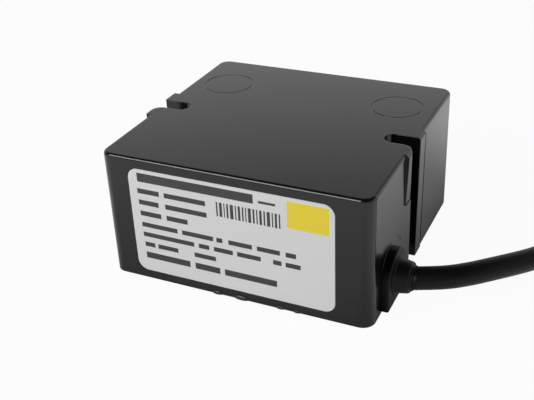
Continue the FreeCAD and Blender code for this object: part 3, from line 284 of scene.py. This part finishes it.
def flange_plate(name, low, high):
    """Plate with a round top between two places along X."""
    plate = block(name, (high - low, PLATE_SIZE, PLATE_SIZE), ((high + low) / 2, GLAND_Y, GLAND_Z))
    top = GLAND_Z + PLATE_SIZE / 2 - NEAR
    foot = GLAND_Z - PLATE_SIZE / 2 + NEAR
    face = high - NEAR
    bpy.ops.object.mode_set(mode="EDIT")
    round_edges(lambda a, b: abs(a.x - b.x) > NEAR and min(a.z, b.z) > top, PLATE_TOP_ROUND, 20)
    round_edges(lambda a, b: abs(a.x - b.x) > NEAR and max(a.z, b.z) < foot, PLATE_FOOT_ROUND, 3)
    round_edges(lambda a, b: min(a.x, b.x) > face, PLATE_RIM_ROUND, 4)
    bpy.ops.object.mode_set(mode="OBJECT")
    return plate


def grow(ahead, scale=1):
    """Extrude the selected end face along X and size it about the gland's axis."""
    bpy.ops.mesh.extrude_region_move(TRANSFORM_OT_translate={"value": (ahead * MM, 0, 0)})
    if scale != 1:
        bpy.ops.transform.resize(value=(1, scale, scale), center_override=(0, GLAND_Y * MM, GLAND_Z * MM))


def gland_body():
    """Waist, tapered collar and short nose, from one disc grown along X."""
    deselect()
    bpy.ops.mesh.primitive_circle_add(vertices=64, radius=WAIST_RADIUS * MM, fill_type="NGON",
                                      rotation=(0, math.pi / 2, 0),
                                      location=Vector((WAIST_START, GLAND_Y, GLAND_Z)) * MM)
    body = bpy.context.object
    settle(body, "gland_body")
    bpy.ops.object.mode_set(mode="EDIT")
    bpy.ops.mesh.select_all(action="SELECT")
    grow(OUTER_FLANGE[1] - WAIST_START - COLLAR_SUNK)
    last_radius = WAIST_RADIUS
    for ahead, radius in COLLAR_STEPS + NOSE_STEPS:
        grow(ahead, radius / last_radius)
        last_radius = radius
    bpy.ops.mesh.inset(thickness=NOSE_EDGE * MM)
    bpy.ops.mesh.select_all(action="SELECT")
    bpy.ops.mesh.normals_make_consistent(inside=False)
    bpy.ops.object.mode_set(mode="OBJECT")
    return body


def make_gland():
    pieces = [flange_plate("gland_flange", *OUTER_FLANGE), flange_plate("gland_inner_flange", *INNER_FLANGE),
              gland_body()]
    deselect()
    for piece in pieces:
        piece.select_set(True)
    bpy.context.view_layer.objects.active = pieces[0]
    bpy.ops.object.join()
    gland = bpy.context.object
    gland.name = "cable_gland_visual"
    smooth_below(32)
    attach(gland, "root")
    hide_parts("cable_gland")
    return gland


# Lead: out of the gland's nose close to the solid's route, then the stored coil and the sheath's end

# The lead's diameter and the height of its middle where it lies on the floor
LEAD_DIAMETER = 7.1
LYING = LEAD_DIAMETER / 2

RUN_POINTS = (
    (50.9, GLAND_Y, GLAND_Z),
    (58.0, -21.0, 8.5),
    (64.8, -15.9, 8.2),
    (71.7, -8.6, 7.6),
    (81.4, 4.0, 5.6),
    (89.2, 17.5, 4.1),
    (93.4, 32.0, LYING),
)

# The coil's middle, the angles of its entry and end in degrees, and its two turns on the floor
COIL_CENTRE = Vector((130.0, 49.0, 0))
COIL_ENTRY_ANGLE = 175
TAIL_ANGLE = -10
WHOLE_TURNS = 2
OUTER_TURN = 35.7
INNER_TURN = 28.6
POINTS_PER_TURN = 14

# Stretches of the coil in turns from its entry: in to the inner turn, back out and up onto both, over itself
INWARD = (0.66, 0.96)
OUTWARD = (1.5, 1.78)
UPWARD = (1.48, 1.78)
CROSSING = 1.84
CROSSING_REACH = 0.16
TOP_STRAND_RISE = 0.87

# The sheath's end, as distances ahead from the coil and heights: over the outer turn and down to the floor
TAIL_STEPS = ((6, 10.1), (14, 11.1), (22, 10.8), (29, 8.0), (36, 4.7), (42, LYING), (48, LYING))


def coil_place(angle, radius, height):
    turn = math.radians(angle)
    return COIL_CENTRE + Vector((radius * math.cos(turn), radius * math.sin(turn), height))


def eased(value, start, end):
    """Share of the way from start to end, smooth at both ends."""
    share = min(max((value - start) / (end - start), 0), 1)
    return share * share * (3 - 2 * share)


def coil_turns():
    """Outer turn, inner turn, then half a turn on top of both, clockwise from above."""
    step = 360 / POINTS_PER_TURN
    reach = 1 / math.cos(math.radians(step / 2))
    rise = LEAD_DIAMETER * TOP_STRAND_RISE
    count = round((COIL_ENTRY_ANGLE - TAIL_ANGLE + 360 * WHOLE_TURNS) / step)
    places = []
    for index in range(count):
        turns = index / POINTS_PER_TURN
        radius = OUTER_TURN + (INNER_TURN - OUTER_TURN) * eased(turns, *INWARD)
        radius += (OUTER_TURN - INNER_TURN) / 2 * eased(turns, *OUTWARD)
        over_crossing = max(1 - abs(turns - CROSSING) / CROSSING_REACH, 0)
        height = LYING + rise * eased(turns, *UPWARD) + over_crossing
        places.append(coil_place(COIL_ENTRY_ANGLE - index * step, radius * reach, height))
    return places


def tail_places():
    """The sheath's end, straight ahead from the coil's last point."""
    start = coil_place(TAIL_ANGLE, (OUTER_TURN + INNER_TURN) / 2, 0)
    turn = math.radians(TAIL_ANGLE - 90)
    ahead = Vector((math.cos(turn), math.sin(turn), 0))
    return [start + ahead * along + Vector((0, 0, height)) for along, height in TAIL_STEPS]


def add_spline(curve, points, diameter):
    """The points carry the thickness, so that the curve's box is the tube's own."""
    spline = curve.splines.new("NURBS")
    spline.points.add(len(points) - 1)
    for control, place in zip(spline.points, points):
        control.co = (*(Vector(place) * MM), 1)
        control.radius = diameter / 2 * MM
    spline.order_u = 3
    spline.use_endpoint_u = True
    return spline


def round_curve(name, points, diameter):
    """One open spline with a round section."""
    curve = bpy.data.curves.new(name, "CURVE")
    curve.dimensions = "3D"
    curve.bevel_depth = 1
    curve.bevel_resolution = 8
    curve.resolution_u = 12
    curve.use_fill_caps = True
    add_spline(curve, points, diameter)
    piece = bpy.data.objects.new(name, curve)
    bpy.context.collection.objects.link(piece)
    return piece


def make_lead():
    points = list(RUN_POINTS) + coil_turns() + tail_places()
    lead = round_curve("mains_lead", points, LEAD_DIAMETER)
    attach(lead, "root")
    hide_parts("lead_run", "lead_coil", "lead_tail")
    return lead


# Wire tie: a loop round the coil's three strands, as distances from its middle and heights, and twisted ends

TIE_DIAMETER = 1.4
TIE_ANGLE = 90
TIE_LOOP = ((23.9, 3.4), (23.9, 0.7), (38.9, 0.7), (38.9, 3.4), (38.2, 6.4), (34.6, 12.9), (31.4, 13.9),
            (28.2, 12.9), (24.6, 6.4))
TWIST_OUT = 31.4
TWIST_UP = 14.0
TWIST_OUT_STEP = 0.45
TWIST_UP_STEP = 0.12
TWIST_TURN = 0.9
TWIST_RADIUS = 0.75
TWIST_POINTS = 22


def make_tie():
    """Wire tie at the coil's rear; each of its two ends winds round the other."""
    tie = round_curve("coil_tie", [coil_place(TIE_ANGLE, out, up) for out, up in TIE_LOOP], TIE_DIAMETER)
    tie.data.splines[0].use_endpoint_u = False
    tie.data.splines[0].use_cyclic_u = True
    for side in (0, math.pi):
        places = []
        for index in range(TWIST_POINTS):
            turn = side + index * TWIST_TURN
            middle = coil_place(TIE_ANGLE, TWIST_OUT + index * TWIST_OUT_STEP,
                                TWIST_UP + index * TWIST_UP_STEP)
            places.append(middle + Vector((math.cos(turn), 0, math.sin(turn))) * TWIST_RADIUS)
        add_spline(tie.data, places, TIE_DIAMETER)
    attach(tie, "root")
    return tie


case = make_case()
drops = [make_drop(*facts) for facts in DROPS]
gland = make_gland()
lead = make_lead()
tie = make_tie()


# Materials

CLOUD_SCALE = 45
BUMP_DISTANCE = 0.2


def math_node(tree, operation, *values):
    """Math node whose inputs are sockets or numbers; returns its output."""
    node = tree.nodes.new("ShaderNodeMath")
    node.operation = operation
    for socket, value in zip(node.inputs, values):
        if isinstance(value, bpy.types.NodeSocket):
            tree.links.new(value, socket)
        else:
            socket.default_value = value
    return node.outputs[0]


def noise(group, place, detail):
    """Noise in object space."""
    node = group.nodes.new("ShaderNodeTexNoise")
    node.inputs["Detail"].default_value = detail
    group.links.new(place, node.inputs["Vector"])
    return node


def surface_group():
    """Colour, roughness and normal of a worked surface, from two noises in object space."""
    group = bpy.data.node_groups.new("surface_grain", "ShaderNodeTree")
    sockets = group.interface
    for name, kind, value in (("Colour", "NodeSocketColor", (0.5, 0.5, 0.5, 1)),
                              ("Colour spread", "NodeSocketFloat", 0.1),
                              ("Roughness", "NodeSocketFloat", 0.4),
                              ("Roughness spread", "NodeSocketFloat", 0.1),
                              ("Grain size", "NodeSocketFloat", 900.0),
                              ("Grain depth", "NodeSocketFloat", 0.1)):
        socket = sockets.new_socket(name=name, in_out="INPUT", socket_type=kind)
        socket.default_value = value
    sockets.new_socket(name="Normal", in_out="INPUT", socket_type="NodeSocketVector")
    for name, kind in (("Colour", "NodeSocketColor"), ("Roughness", "NodeSocketFloat"),
                       ("Normal", "NodeSocketVector")):
        sockets.new_socket(name=name, in_out="OUTPUT", socket_type=kind)
    link = group.links.new
    given = group.nodes.new("NodeGroupInput").outputs
    result = group.nodes.new("NodeGroupOutput").inputs
    place = group.nodes.new("ShaderNodeTexCoord").outputs["Object"]
    cloud = noise(group, place, 4)
    cloud.inputs["Scale"].default_value = CLOUD_SCALE
    grain = noise(group, place, 3)
    link(given["Grain size"], grain.inputs["Scale"])
    centred = math_node(group, "SUBTRACT", cloud.outputs["Fac"], 0.5)
    tinted = group.nodes.new("ShaderNodeVectorMath")
    tinted.operation = "SCALE"
    link(given["Colour"], tinted.inputs[0])
    link(math_node(group, "MULTIPLY_ADD", centred, given["Colour spread"], 1.0), tinted.inputs["Scale"])
    bump = group.nodes.new("ShaderNodeBump")
    bump.inputs["Distance"].default_value = BUMP_DISTANCE * MM
    link(given["Grain depth"], bump.inputs["Strength"])
    link(grain.outputs["Fac"], bump.inputs["Height"])
    link(given["Normal"], bump.inputs["Normal"])
    link(tinted.outputs[0], result["Colour"])
    link(math_node(group, "MULTIPLY_ADD", centred, given["Roughness spread"], given["Roughness"]),
         result["Roughness"])
    link(bump.outputs[0], result["Normal"])
    return group


GRAIN = surface_group()


def surface(name, colour, roughness, metallic=0.0, spread=0.25, rough_spread=0.12, grain=900, depth=0.15,
            edge=0.15, shine=0.5):
    """Principled material fed by the grain group, with edges rounded by a number of millimetres."""
    material = bpy.data.materials.new(name)
    material.use_nodes = True
    tree = material.node_tree
    shader = tree.nodes["Principled BSDF"]
    worked = tree.nodes.new("ShaderNodeGroup")
    worked.node_tree = GRAIN
    for socket, value in (("Metallic", metallic), ("IOR", 1.5), ("Specular IOR Level", shine)):
        shader.inputs[socket].default_value = value
    for socket, value in (("Colour", (*colour, 1)), ("Colour spread", spread), ("Roughness", roughness),
                          ("Roughness spread", rough_spread), ("Grain size", grain), ("Grain depth", depth)):
        worked.inputs[socket].default_value = value
    rounding = tree.nodes.new("ShaderNodeBevel")
    rounding.samples = 6
    rounding.inputs["Radius"].default_value = edge * MM
    tree.links.new(rounding.outputs["Normal"], worked.inputs["Normal"])
    for given, wanted in (("Colour", "Base Color"), ("Roughness", "Roughness"), ("Normal", "Normal")):
        tree.links.new(worked.outputs[given], shader.inputs[wanted])
    return material


def dress(target, material):
    """Give an object one material."""
    slots = target.data.materials
    slots.clear()
    slots.append(material)


case_plastic = surface("case_plastic", (0.0036, 0.0036, 0.0039), 0.17, spread=0.3, rough_spread=0.1,
                       grain=700, depth=0.03, edge=0.35)
gland_plastic = surface("gland_plastic", (0.003, 0.003, 0.003), 0.45, grain=1600, depth=0.1, shine=0.25)
sheath = surface("sheath", (0.003, 0.003, 0.003), 0.45, grain=1200, depth=0.1, shine=0.2)
cast_resin = surface("cast_resin", (0.02, 0.018, 0.016), 0.34, spread=0.3, grain=160, depth=0.25)
label_film = surface("label_film", (0.75, 0.755, 0.75), 0.34, spread=0.05, grain=700, depth=0.05)
brown_core = surface("brown_core", (0.16, 0.06, 0.025), 0.35)
blue_core = surface("blue_core", (0.03, 0.13, 0.45), 0.35)
earth_core = surface("earth_core", (0.62, 0.60, 0.05), 0.35)
tinned = surface("tinned_metal", (0.72, 0.72, 0.70), 0.28, metallic=1.0, grain=2500)
board_green = surface("board_laminate", (0.05, 0.17, 0.07), 0.3)
capacitor_yellow = surface("capacitor_case", (0.60, 0.36, 0.04), 0.35)
varistor_blue = surface("varistor_coat", (0.03, 0.09, 0.30), 0.3)
sleeve_white = surface("fuse_sleeve", (0.66, 0.62, 0.54), 0.7)
component_black = surface("component_black", (0.02, 0.02, 0.02), 0.5)
resistor_tan = surface("resistor_coat", (0.45, 0.33, 0.20), 0.35)
glass_blue = surface("component_glass", (0.15, 0.25, 0.45), 0.2)
ferrite_grey = surface("ferrite", (0.05, 0.05, 0.055), 0.45, grain=3000, depth=0.3)
film_clear = surface("gap_film", (0.75, 0.75, 0.62), 0.25)
spring_steel = surface("spring_steel", (0.60, 0.60, 0.60), 0.3, metallic=1.0)
former_nylon = surface("former_nylon", (0.72, 0.70, 0.60), 0.45)
copper_wire = surface("copper_wire", (0.62, 0.26, 0.12), 0.3, metallic=1.0)
wire_red = surface("wire_red", (0.40, 0.03, 0.025), 0.35)
silicone_grey = surface("silicone_wire", (0.55, 0.52, 0.48), 0.5)
terminal_brass = surface("terminal_brass", (0.72, 0.52, 0.22), 0.25, metallic=1.0, grain=2500)
tie_wire = surface("tie_wire", (0.55, 0.55, 0.53), 0.4)


# Label's print: generic bars and a yellow field, as masks in the label's own plane, in millimetres

# Middle height and half height of each row, and where its bars begin and end
BAR_ROWS = (
    (36.5, 1.5, ((-30.8, 8.0),)),
    (35.9, 0.4, ((9.6, 15.0),)),
    (31.8, 0.85, ((-31.2, -23.6), (-21.9, -7.8))),
    (27.9, 0.85, ((-31.1, -24.1), (-21.8, -7.6))),
    (24.0, 0.85, ((-31.0, -23.6), (-21.7, -14.4))),
    (20.0, 0.8, ((-30.9, -18.3), (-16.7, -6.0), (-4.9, -2.9), (-0.9, 6.9), (8.5, 15.9), (17.7, 21.0))),
    (16.5, 0.8, ((-30.8, -12.8), (-11.2, -7.6), (-6.0, 0.4), (1.8, 9.6), (13.6, 16.3), (17.6, 22.4))),
    (12.9, 0.8, ((-30.6, -27.0), (-25.9, -18.7), (-13.0, -5.6))),
    (8.9, 1.1, ((-30.6, -14.8), (-13.0, -4.4), (-2.8, 14.6))),
)

# The striped field: its left side, its foot and its top
STRIPE_LEFT = -4.2
STRIPE_FOOT = 28.4
STRIPE_TOP = 33.2
STRIPE_GAP = 0.55
STRIPE_WIDTHS = (0.5, 0.9, 0.35, 0.6, 1.1, 0.4, 0.75, 0.5, 0.35, 0.95, 0.6, 0.4, 0.8, 0.5, 1.0, 0.4, 0.7,
                 0.45)

# The yellow field: left, right, foot and top
YELLOW_FIELD = (18.5, 31.3, 29.2, 38.0)
YELLOW_INK = (0.88, 0.70, 0.035, 1)
DARK_INK = (0.04, 0.04, 0.042, 1)


def bar_group():
    """Mask of one upright rectangle in the plane of X and Z, from its middle and half sizes in metres."""
    group = bpy.data.node_groups.new("print_bar", "ShaderNodeTree")
    sockets = group.interface
    sockets.new_socket(name="Place", in_out="INPUT", socket_type="NodeSocketVector")
    for name in ("Middle X", "Middle Z", "Half X", "Half Z"):
        sockets.new_socket(name=name, in_out="INPUT", socket_type="NodeSocketFloat")
    sockets.new_socket(name="Mask", in_out="OUTPUT", socket_type="NodeSocketFloat")
    link = group.links.new
    given = group.nodes.new("NodeGroupInput")
    result = group.nodes.new("NodeGroupOutput")
    split = group.nodes.new("ShaderNodeSeparateXYZ")
    link(given.outputs["Place"], split.inputs[0])
    sides = []
    for axis in ("X", "Z"):
        offset = math_node(group, "SUBTRACT", split.outputs[axis], given.outputs[f"Middle {axis}"])
        away = math_node(group, "ABSOLUTE", offset)
        sides.append(math_node(group, "LESS_THAN", away, given.outputs[f"Half {axis}"]))
    link(math_node(group, "MULTIPLY", *sides), result.inputs["Mask"])
    return group


def print_mask(tree, bar, place, rectangles):
    """Joined mask of rectangles given as left, right, low and high."""
    joined = None
    for left, right, low, high in rectangles:
        node = tree.nodes.new("ShaderNodeGroup")
        node.node_tree = bar
        tree.links.new(place, node.inputs["Place"])
        node.inputs["Middle X"].default_value = (left + right) / 2 * MM
        node.inputs["Middle Z"].default_value = (low + high) / 2 * MM
        node.inputs["Half X"].default_value = (right - left) / 2 * MM
        node.inputs["Half Z"].default_value = (high - low) / 2 * MM
        mask = node.outputs["Mask"]
        joined = mask if joined is None else math_node(tree, "MAXIMUM", joined, mask)
    return joined


def print_rectangles():
    """All dark bars and stripes, as left, right, low and high."""
    bars = []
    for level, half, spans in BAR_ROWS:
        bars += [(left, right, level - half, level + half) for left, right in spans]
    along = STRIPE_LEFT
    for width in STRIPE_WIDTHS:
        bars.append((along, along + width, STRIPE_FOOT, STRIPE_TOP))
        along += width + STRIPE_GAP
    return bars


def print_label(material):
    """Lay the yellow field and the dark bars over the label film's colour."""
    tree = material.node_tree
    bar = bar_group()
    place = tree.nodes.new("ShaderNodeTexCoord").outputs["Object"]
    worked = next(node for node in tree.nodes if node.type == "GROUP")
    colour = worked.outputs["Colour"]
    for rectangles, ink in (([YELLOW_FIELD], YELLOW_INK), (print_rectangles(), DARK_INK)):
        blend = tree.nodes.new("ShaderNodeMix")
        blend.data_type = "RGBA"
        tree.links.new(print_mask(tree, bar, place, rectangles), blend.inputs[0])
        tree.links.new(colour, blend.inputs[6])
        blend.inputs[7].default_value = ink
        colour = blend.outputs[2]
    tree.links.new(colour, tree.nodes["Principled BSDF"].inputs["Base Color"])


print_label(label_film)

NODE_MATERIALS = {
    "case": case_plastic, "potting_resin": cast_resin, "rating_label": label_film,
    "cable_gland": gland_plastic, "lead_inner": sheath, "core_brown": brown_core, "core_blue": blue_core,
    "core_green_yellow": earth_core, "core_ferrules": tinned, "inner_core_brown": brown_core,
    "inner_core_blue": blue_core, "inner_core_earth": earth_core, "circuit_board": board_green,
    "storage_capacitor": capacitor_yellow, "filter_capacitor": capacitor_yellow, "varistor": varistor_blue,
    "fuse_link": sleeve_white, "rectifier_diodes": component_black, "resistors": resistor_tan,
    "thyristor": component_black, "trigger_diode": glass_blue, "choke_core": ferrite_grey,
    "choke_winding": copper_wire, "core_half_left": ferrite_grey, "core_half_right": ferrite_grey,
    "core_gap_film": film_clear, "core_clip": spring_steel, "winding_former": former_nylon,
    "primary_winding": copper_wire, "secondary_winding": copper_wire, "former_pins": tinned,
    "primary_lead_1": wire_red, "primary_lead_2": wire_red, "hv_lead": silicone_grey,
    "hv_terminal": terminal_brass, "lead_run": sheath, "lead_coil": sheath, "lead_tail": sheath,
}
for node_name, node_material in NODE_MATERIALS.items():
    dress(nodes[node_name], node_material)
for piece, piece_material in ((case, case_plastic), (gland, gland_plastic), (lead, sheath), (tie, tie_wire)):
    dress(piece, piece_material)
for drop in drops:
    dress(drop, cast_resin)


# Studio: a pale floor, a white surround and a softbox in front at the left

# Ramps, each as start, end, value at the start and value at the end
SURROUND_BY_HEIGHT = (0.26, 0.70, 0.98, 0.06)
SURROUND_BY_DEPTH = (-0.35, 0.35, 0.3, 1.0)
# The floor's glow in reflections by distance from the case's walls: painted shade that darkens it near the
# case
PAINTED_SHADE_BY_DISTANCE = (0.0, 0.04, 0.1, 0.87)

# Half sizes of the patch round the case where the floor's glow in reflections carries painted shade, and how
# slowly that painted shade fades before and behind
PAINTED_SHADE_PATCH = (44.0, 42.0)
DEPTH_SHARE = 0.6

# The floor: its glow for the camera and for light that went through something, its grey, its side in metres
# and the gap between it and the part in millimetres
SEEN_GLOW = 0.95
THROUGH_GLOW = 0.55
FLOOR_GREY = 0.86
FLOOR_SIZE = 8.0
FLOOR_GAP = 0.2

# The softbox: the point that it looks at in millimetres, its direction from there, its distance and sizes in
# metres, and its power in watts
LIGHT_AIM = Vector((0, 0, 20))
LIGHT_SIDE = Vector((-0.38, -0.73, 0.57))
LIGHT_DISTANCE = 1.3
LIGHT_SIZE = (0.7, 0.5)
LIGHT_POWER = 10.5
WHITE = (1, 1, 1, 1)


def ramp(tree, value, start, end, at_start, at_end, kind="SMOOTHSTEP"):
    """Map Range node; returns its output."""
    node = tree.nodes.new("ShaderNodeMapRange")
    node.interpolation_type = kind
    for name, number in (("From Min", start), ("From Max", end), ("To Min", at_start), ("To Max", at_end)):
        node.inputs[name].default_value = number
    tree.links.new(value, node.inputs["Value"])
    return node.outputs[0]


def surround():
    """World that the camera sees as white; round the object it is bright low behind it and dark overhead."""
    world = bpy.data.worlds.new("studio")
    world.use_nodes = True
    bpy.context.scene.world = world
    tree = world.node_tree
    tree.nodes.clear()
    link = tree.links.new
    split = tree.nodes.new("ShaderNodeSeparateXYZ")
    link(tree.nodes.new("ShaderNodeTexCoord").outputs["Generated"], split.inputs[0])
    by_height = ramp(tree, split.outputs["Z"], *SURROUND_BY_HEIGHT)
    by_depth = ramp(tree, split.outputs["Y"], *SURROUND_BY_DEPTH)
    gentle = tree.nodes.new("ShaderNodeBackground")
    white = tree.nodes.new("ShaderNodeBackground")
    for background in (gentle, white):
        background.inputs["Color"].default_value = WHITE
    link(math_node(tree, "MULTIPLY", by_height, by_depth), gentle.inputs["Strength"])
    mix = tree.nodes.new("ShaderNodeMixShader")
    link(tree.nodes.new("ShaderNodeLightPath").outputs["Is Camera Ray"], mix.inputs["Fac"])
    link(gentle.outputs[0], mix.inputs[1])
    link(white.outputs[0], mix.inputs[2])
    link(mix.outputs[0], tree.nodes.new("ShaderNodeOutputWorld").inputs["Surface"])


def reflected_floor_glow_with_painted_shade(tree):
    """The floor's glow in reflections, with painted shade that darkens it towards the case's walls."""
    half_width, half_depth = PAINTED_SHADE_PATCH
    split = tree.nodes.new("ShaderNodeSeparateXYZ")
    tree.links.new(tree.nodes.new("ShaderNodeTexCoord").outputs["Object"], split.inputs[0])
    beside = math_node(tree, "SUBTRACT", math_node(tree, "ABSOLUTE", split.outputs["X"]), half_width * MM)
    in_front = math_node(tree, "MULTIPLY_ADD", math_node(tree, "ABSOLUTE", split.outputs["Y"]), DEPTH_SHARE,
                         -half_depth * DEPTH_SHARE * MM)
    return ramp(tree, math_node(tree, "MAXIMUM", beside, in_front), *PAINTED_SHADE_BY_DISTANCE, kind="LINEAR")


def floor_material():
    """Pale floor that glows where the camera and the object's reflections see it; in reflections its glow
    carries painted shade near the case.
    """
    material = bpy.data.materials.new("white_floor")
    material.use_nodes = True
    tree = material.node_tree
    link = tree.links.new
    shader = tree.nodes["Principled BSDF"]
    shader.inputs["Base Color"].default_value = (FLOOR_GREY, FLOOR_GREY, FLOOR_GREY, 1)
    shader.inputs["Roughness"].default_value = 0.8
    glow = tree.nodes.new("ShaderNodeEmission")
    glow.inputs["Color"].default_value = WHITE
    paths = tree.nodes.new("ShaderNodeLightPath").outputs
    seen = math_node(tree, "MULTIPLY", paths["Is Camera Ray"], SEEN_GLOW)
    # Painted shade: the floor's glow in reflections is darkened near the case
    mirrored_glow_with_painted_shade = math_node(tree, "MULTIPLY", paths["Is Glossy Ray"], reflected_floor_glow_with_painted_shade(tree))
    through = math_node(tree, "MULTIPLY", paths["Is Transmission Ray"], THROUGH_GLOW)
    mix = tree.nodes.new("ShaderNodeMixShader")
    link(math_node(tree, "MAXIMUM", seen, math_node(tree, "MAXIMUM", mirrored_glow_with_painted_shade, through)), mix.inputs["Fac"])
    link(shader.outputs[0], mix.inputs[1])
    link(glow.outputs[0], mix.inputs[2])
    link(mix.outputs[0], tree.nodes["Material Output"].inputs["Surface"])
    return material


def make_softbox():
    """Large soft light that looks at the object."""
    data = bpy.data.lights.new("softbox_front", "AREA")
    data.shape = "RECTANGLE"
    data.size, data.size_y = LIGHT_SIZE
    data.energy = LIGHT_POWER
    light = bpy.data.objects.new("softbox_front", data)
    towards = LIGHT_SIDE.normalized()
    light.location = LIGHT_AIM * MM + towards * LIGHT_DISTANCE
    light.rotation_euler = towards.to_track_quat("Z", "Y").to_euler()
    bpy.context.collection.objects.link(light)


def make_studio():
    surround()
    deselect()
    bpy.ops.mesh.primitive_plane_add(size=FLOOR_SIZE, location=(0, 0, -FLOOR_GAP * MM))
    floor = bpy.context.object
    floor.name = "floor"
    dress(floor, floor_material())
    make_softbox()


make_studio()

bpy.context.scene.view_settings.view_transform = "Standard"
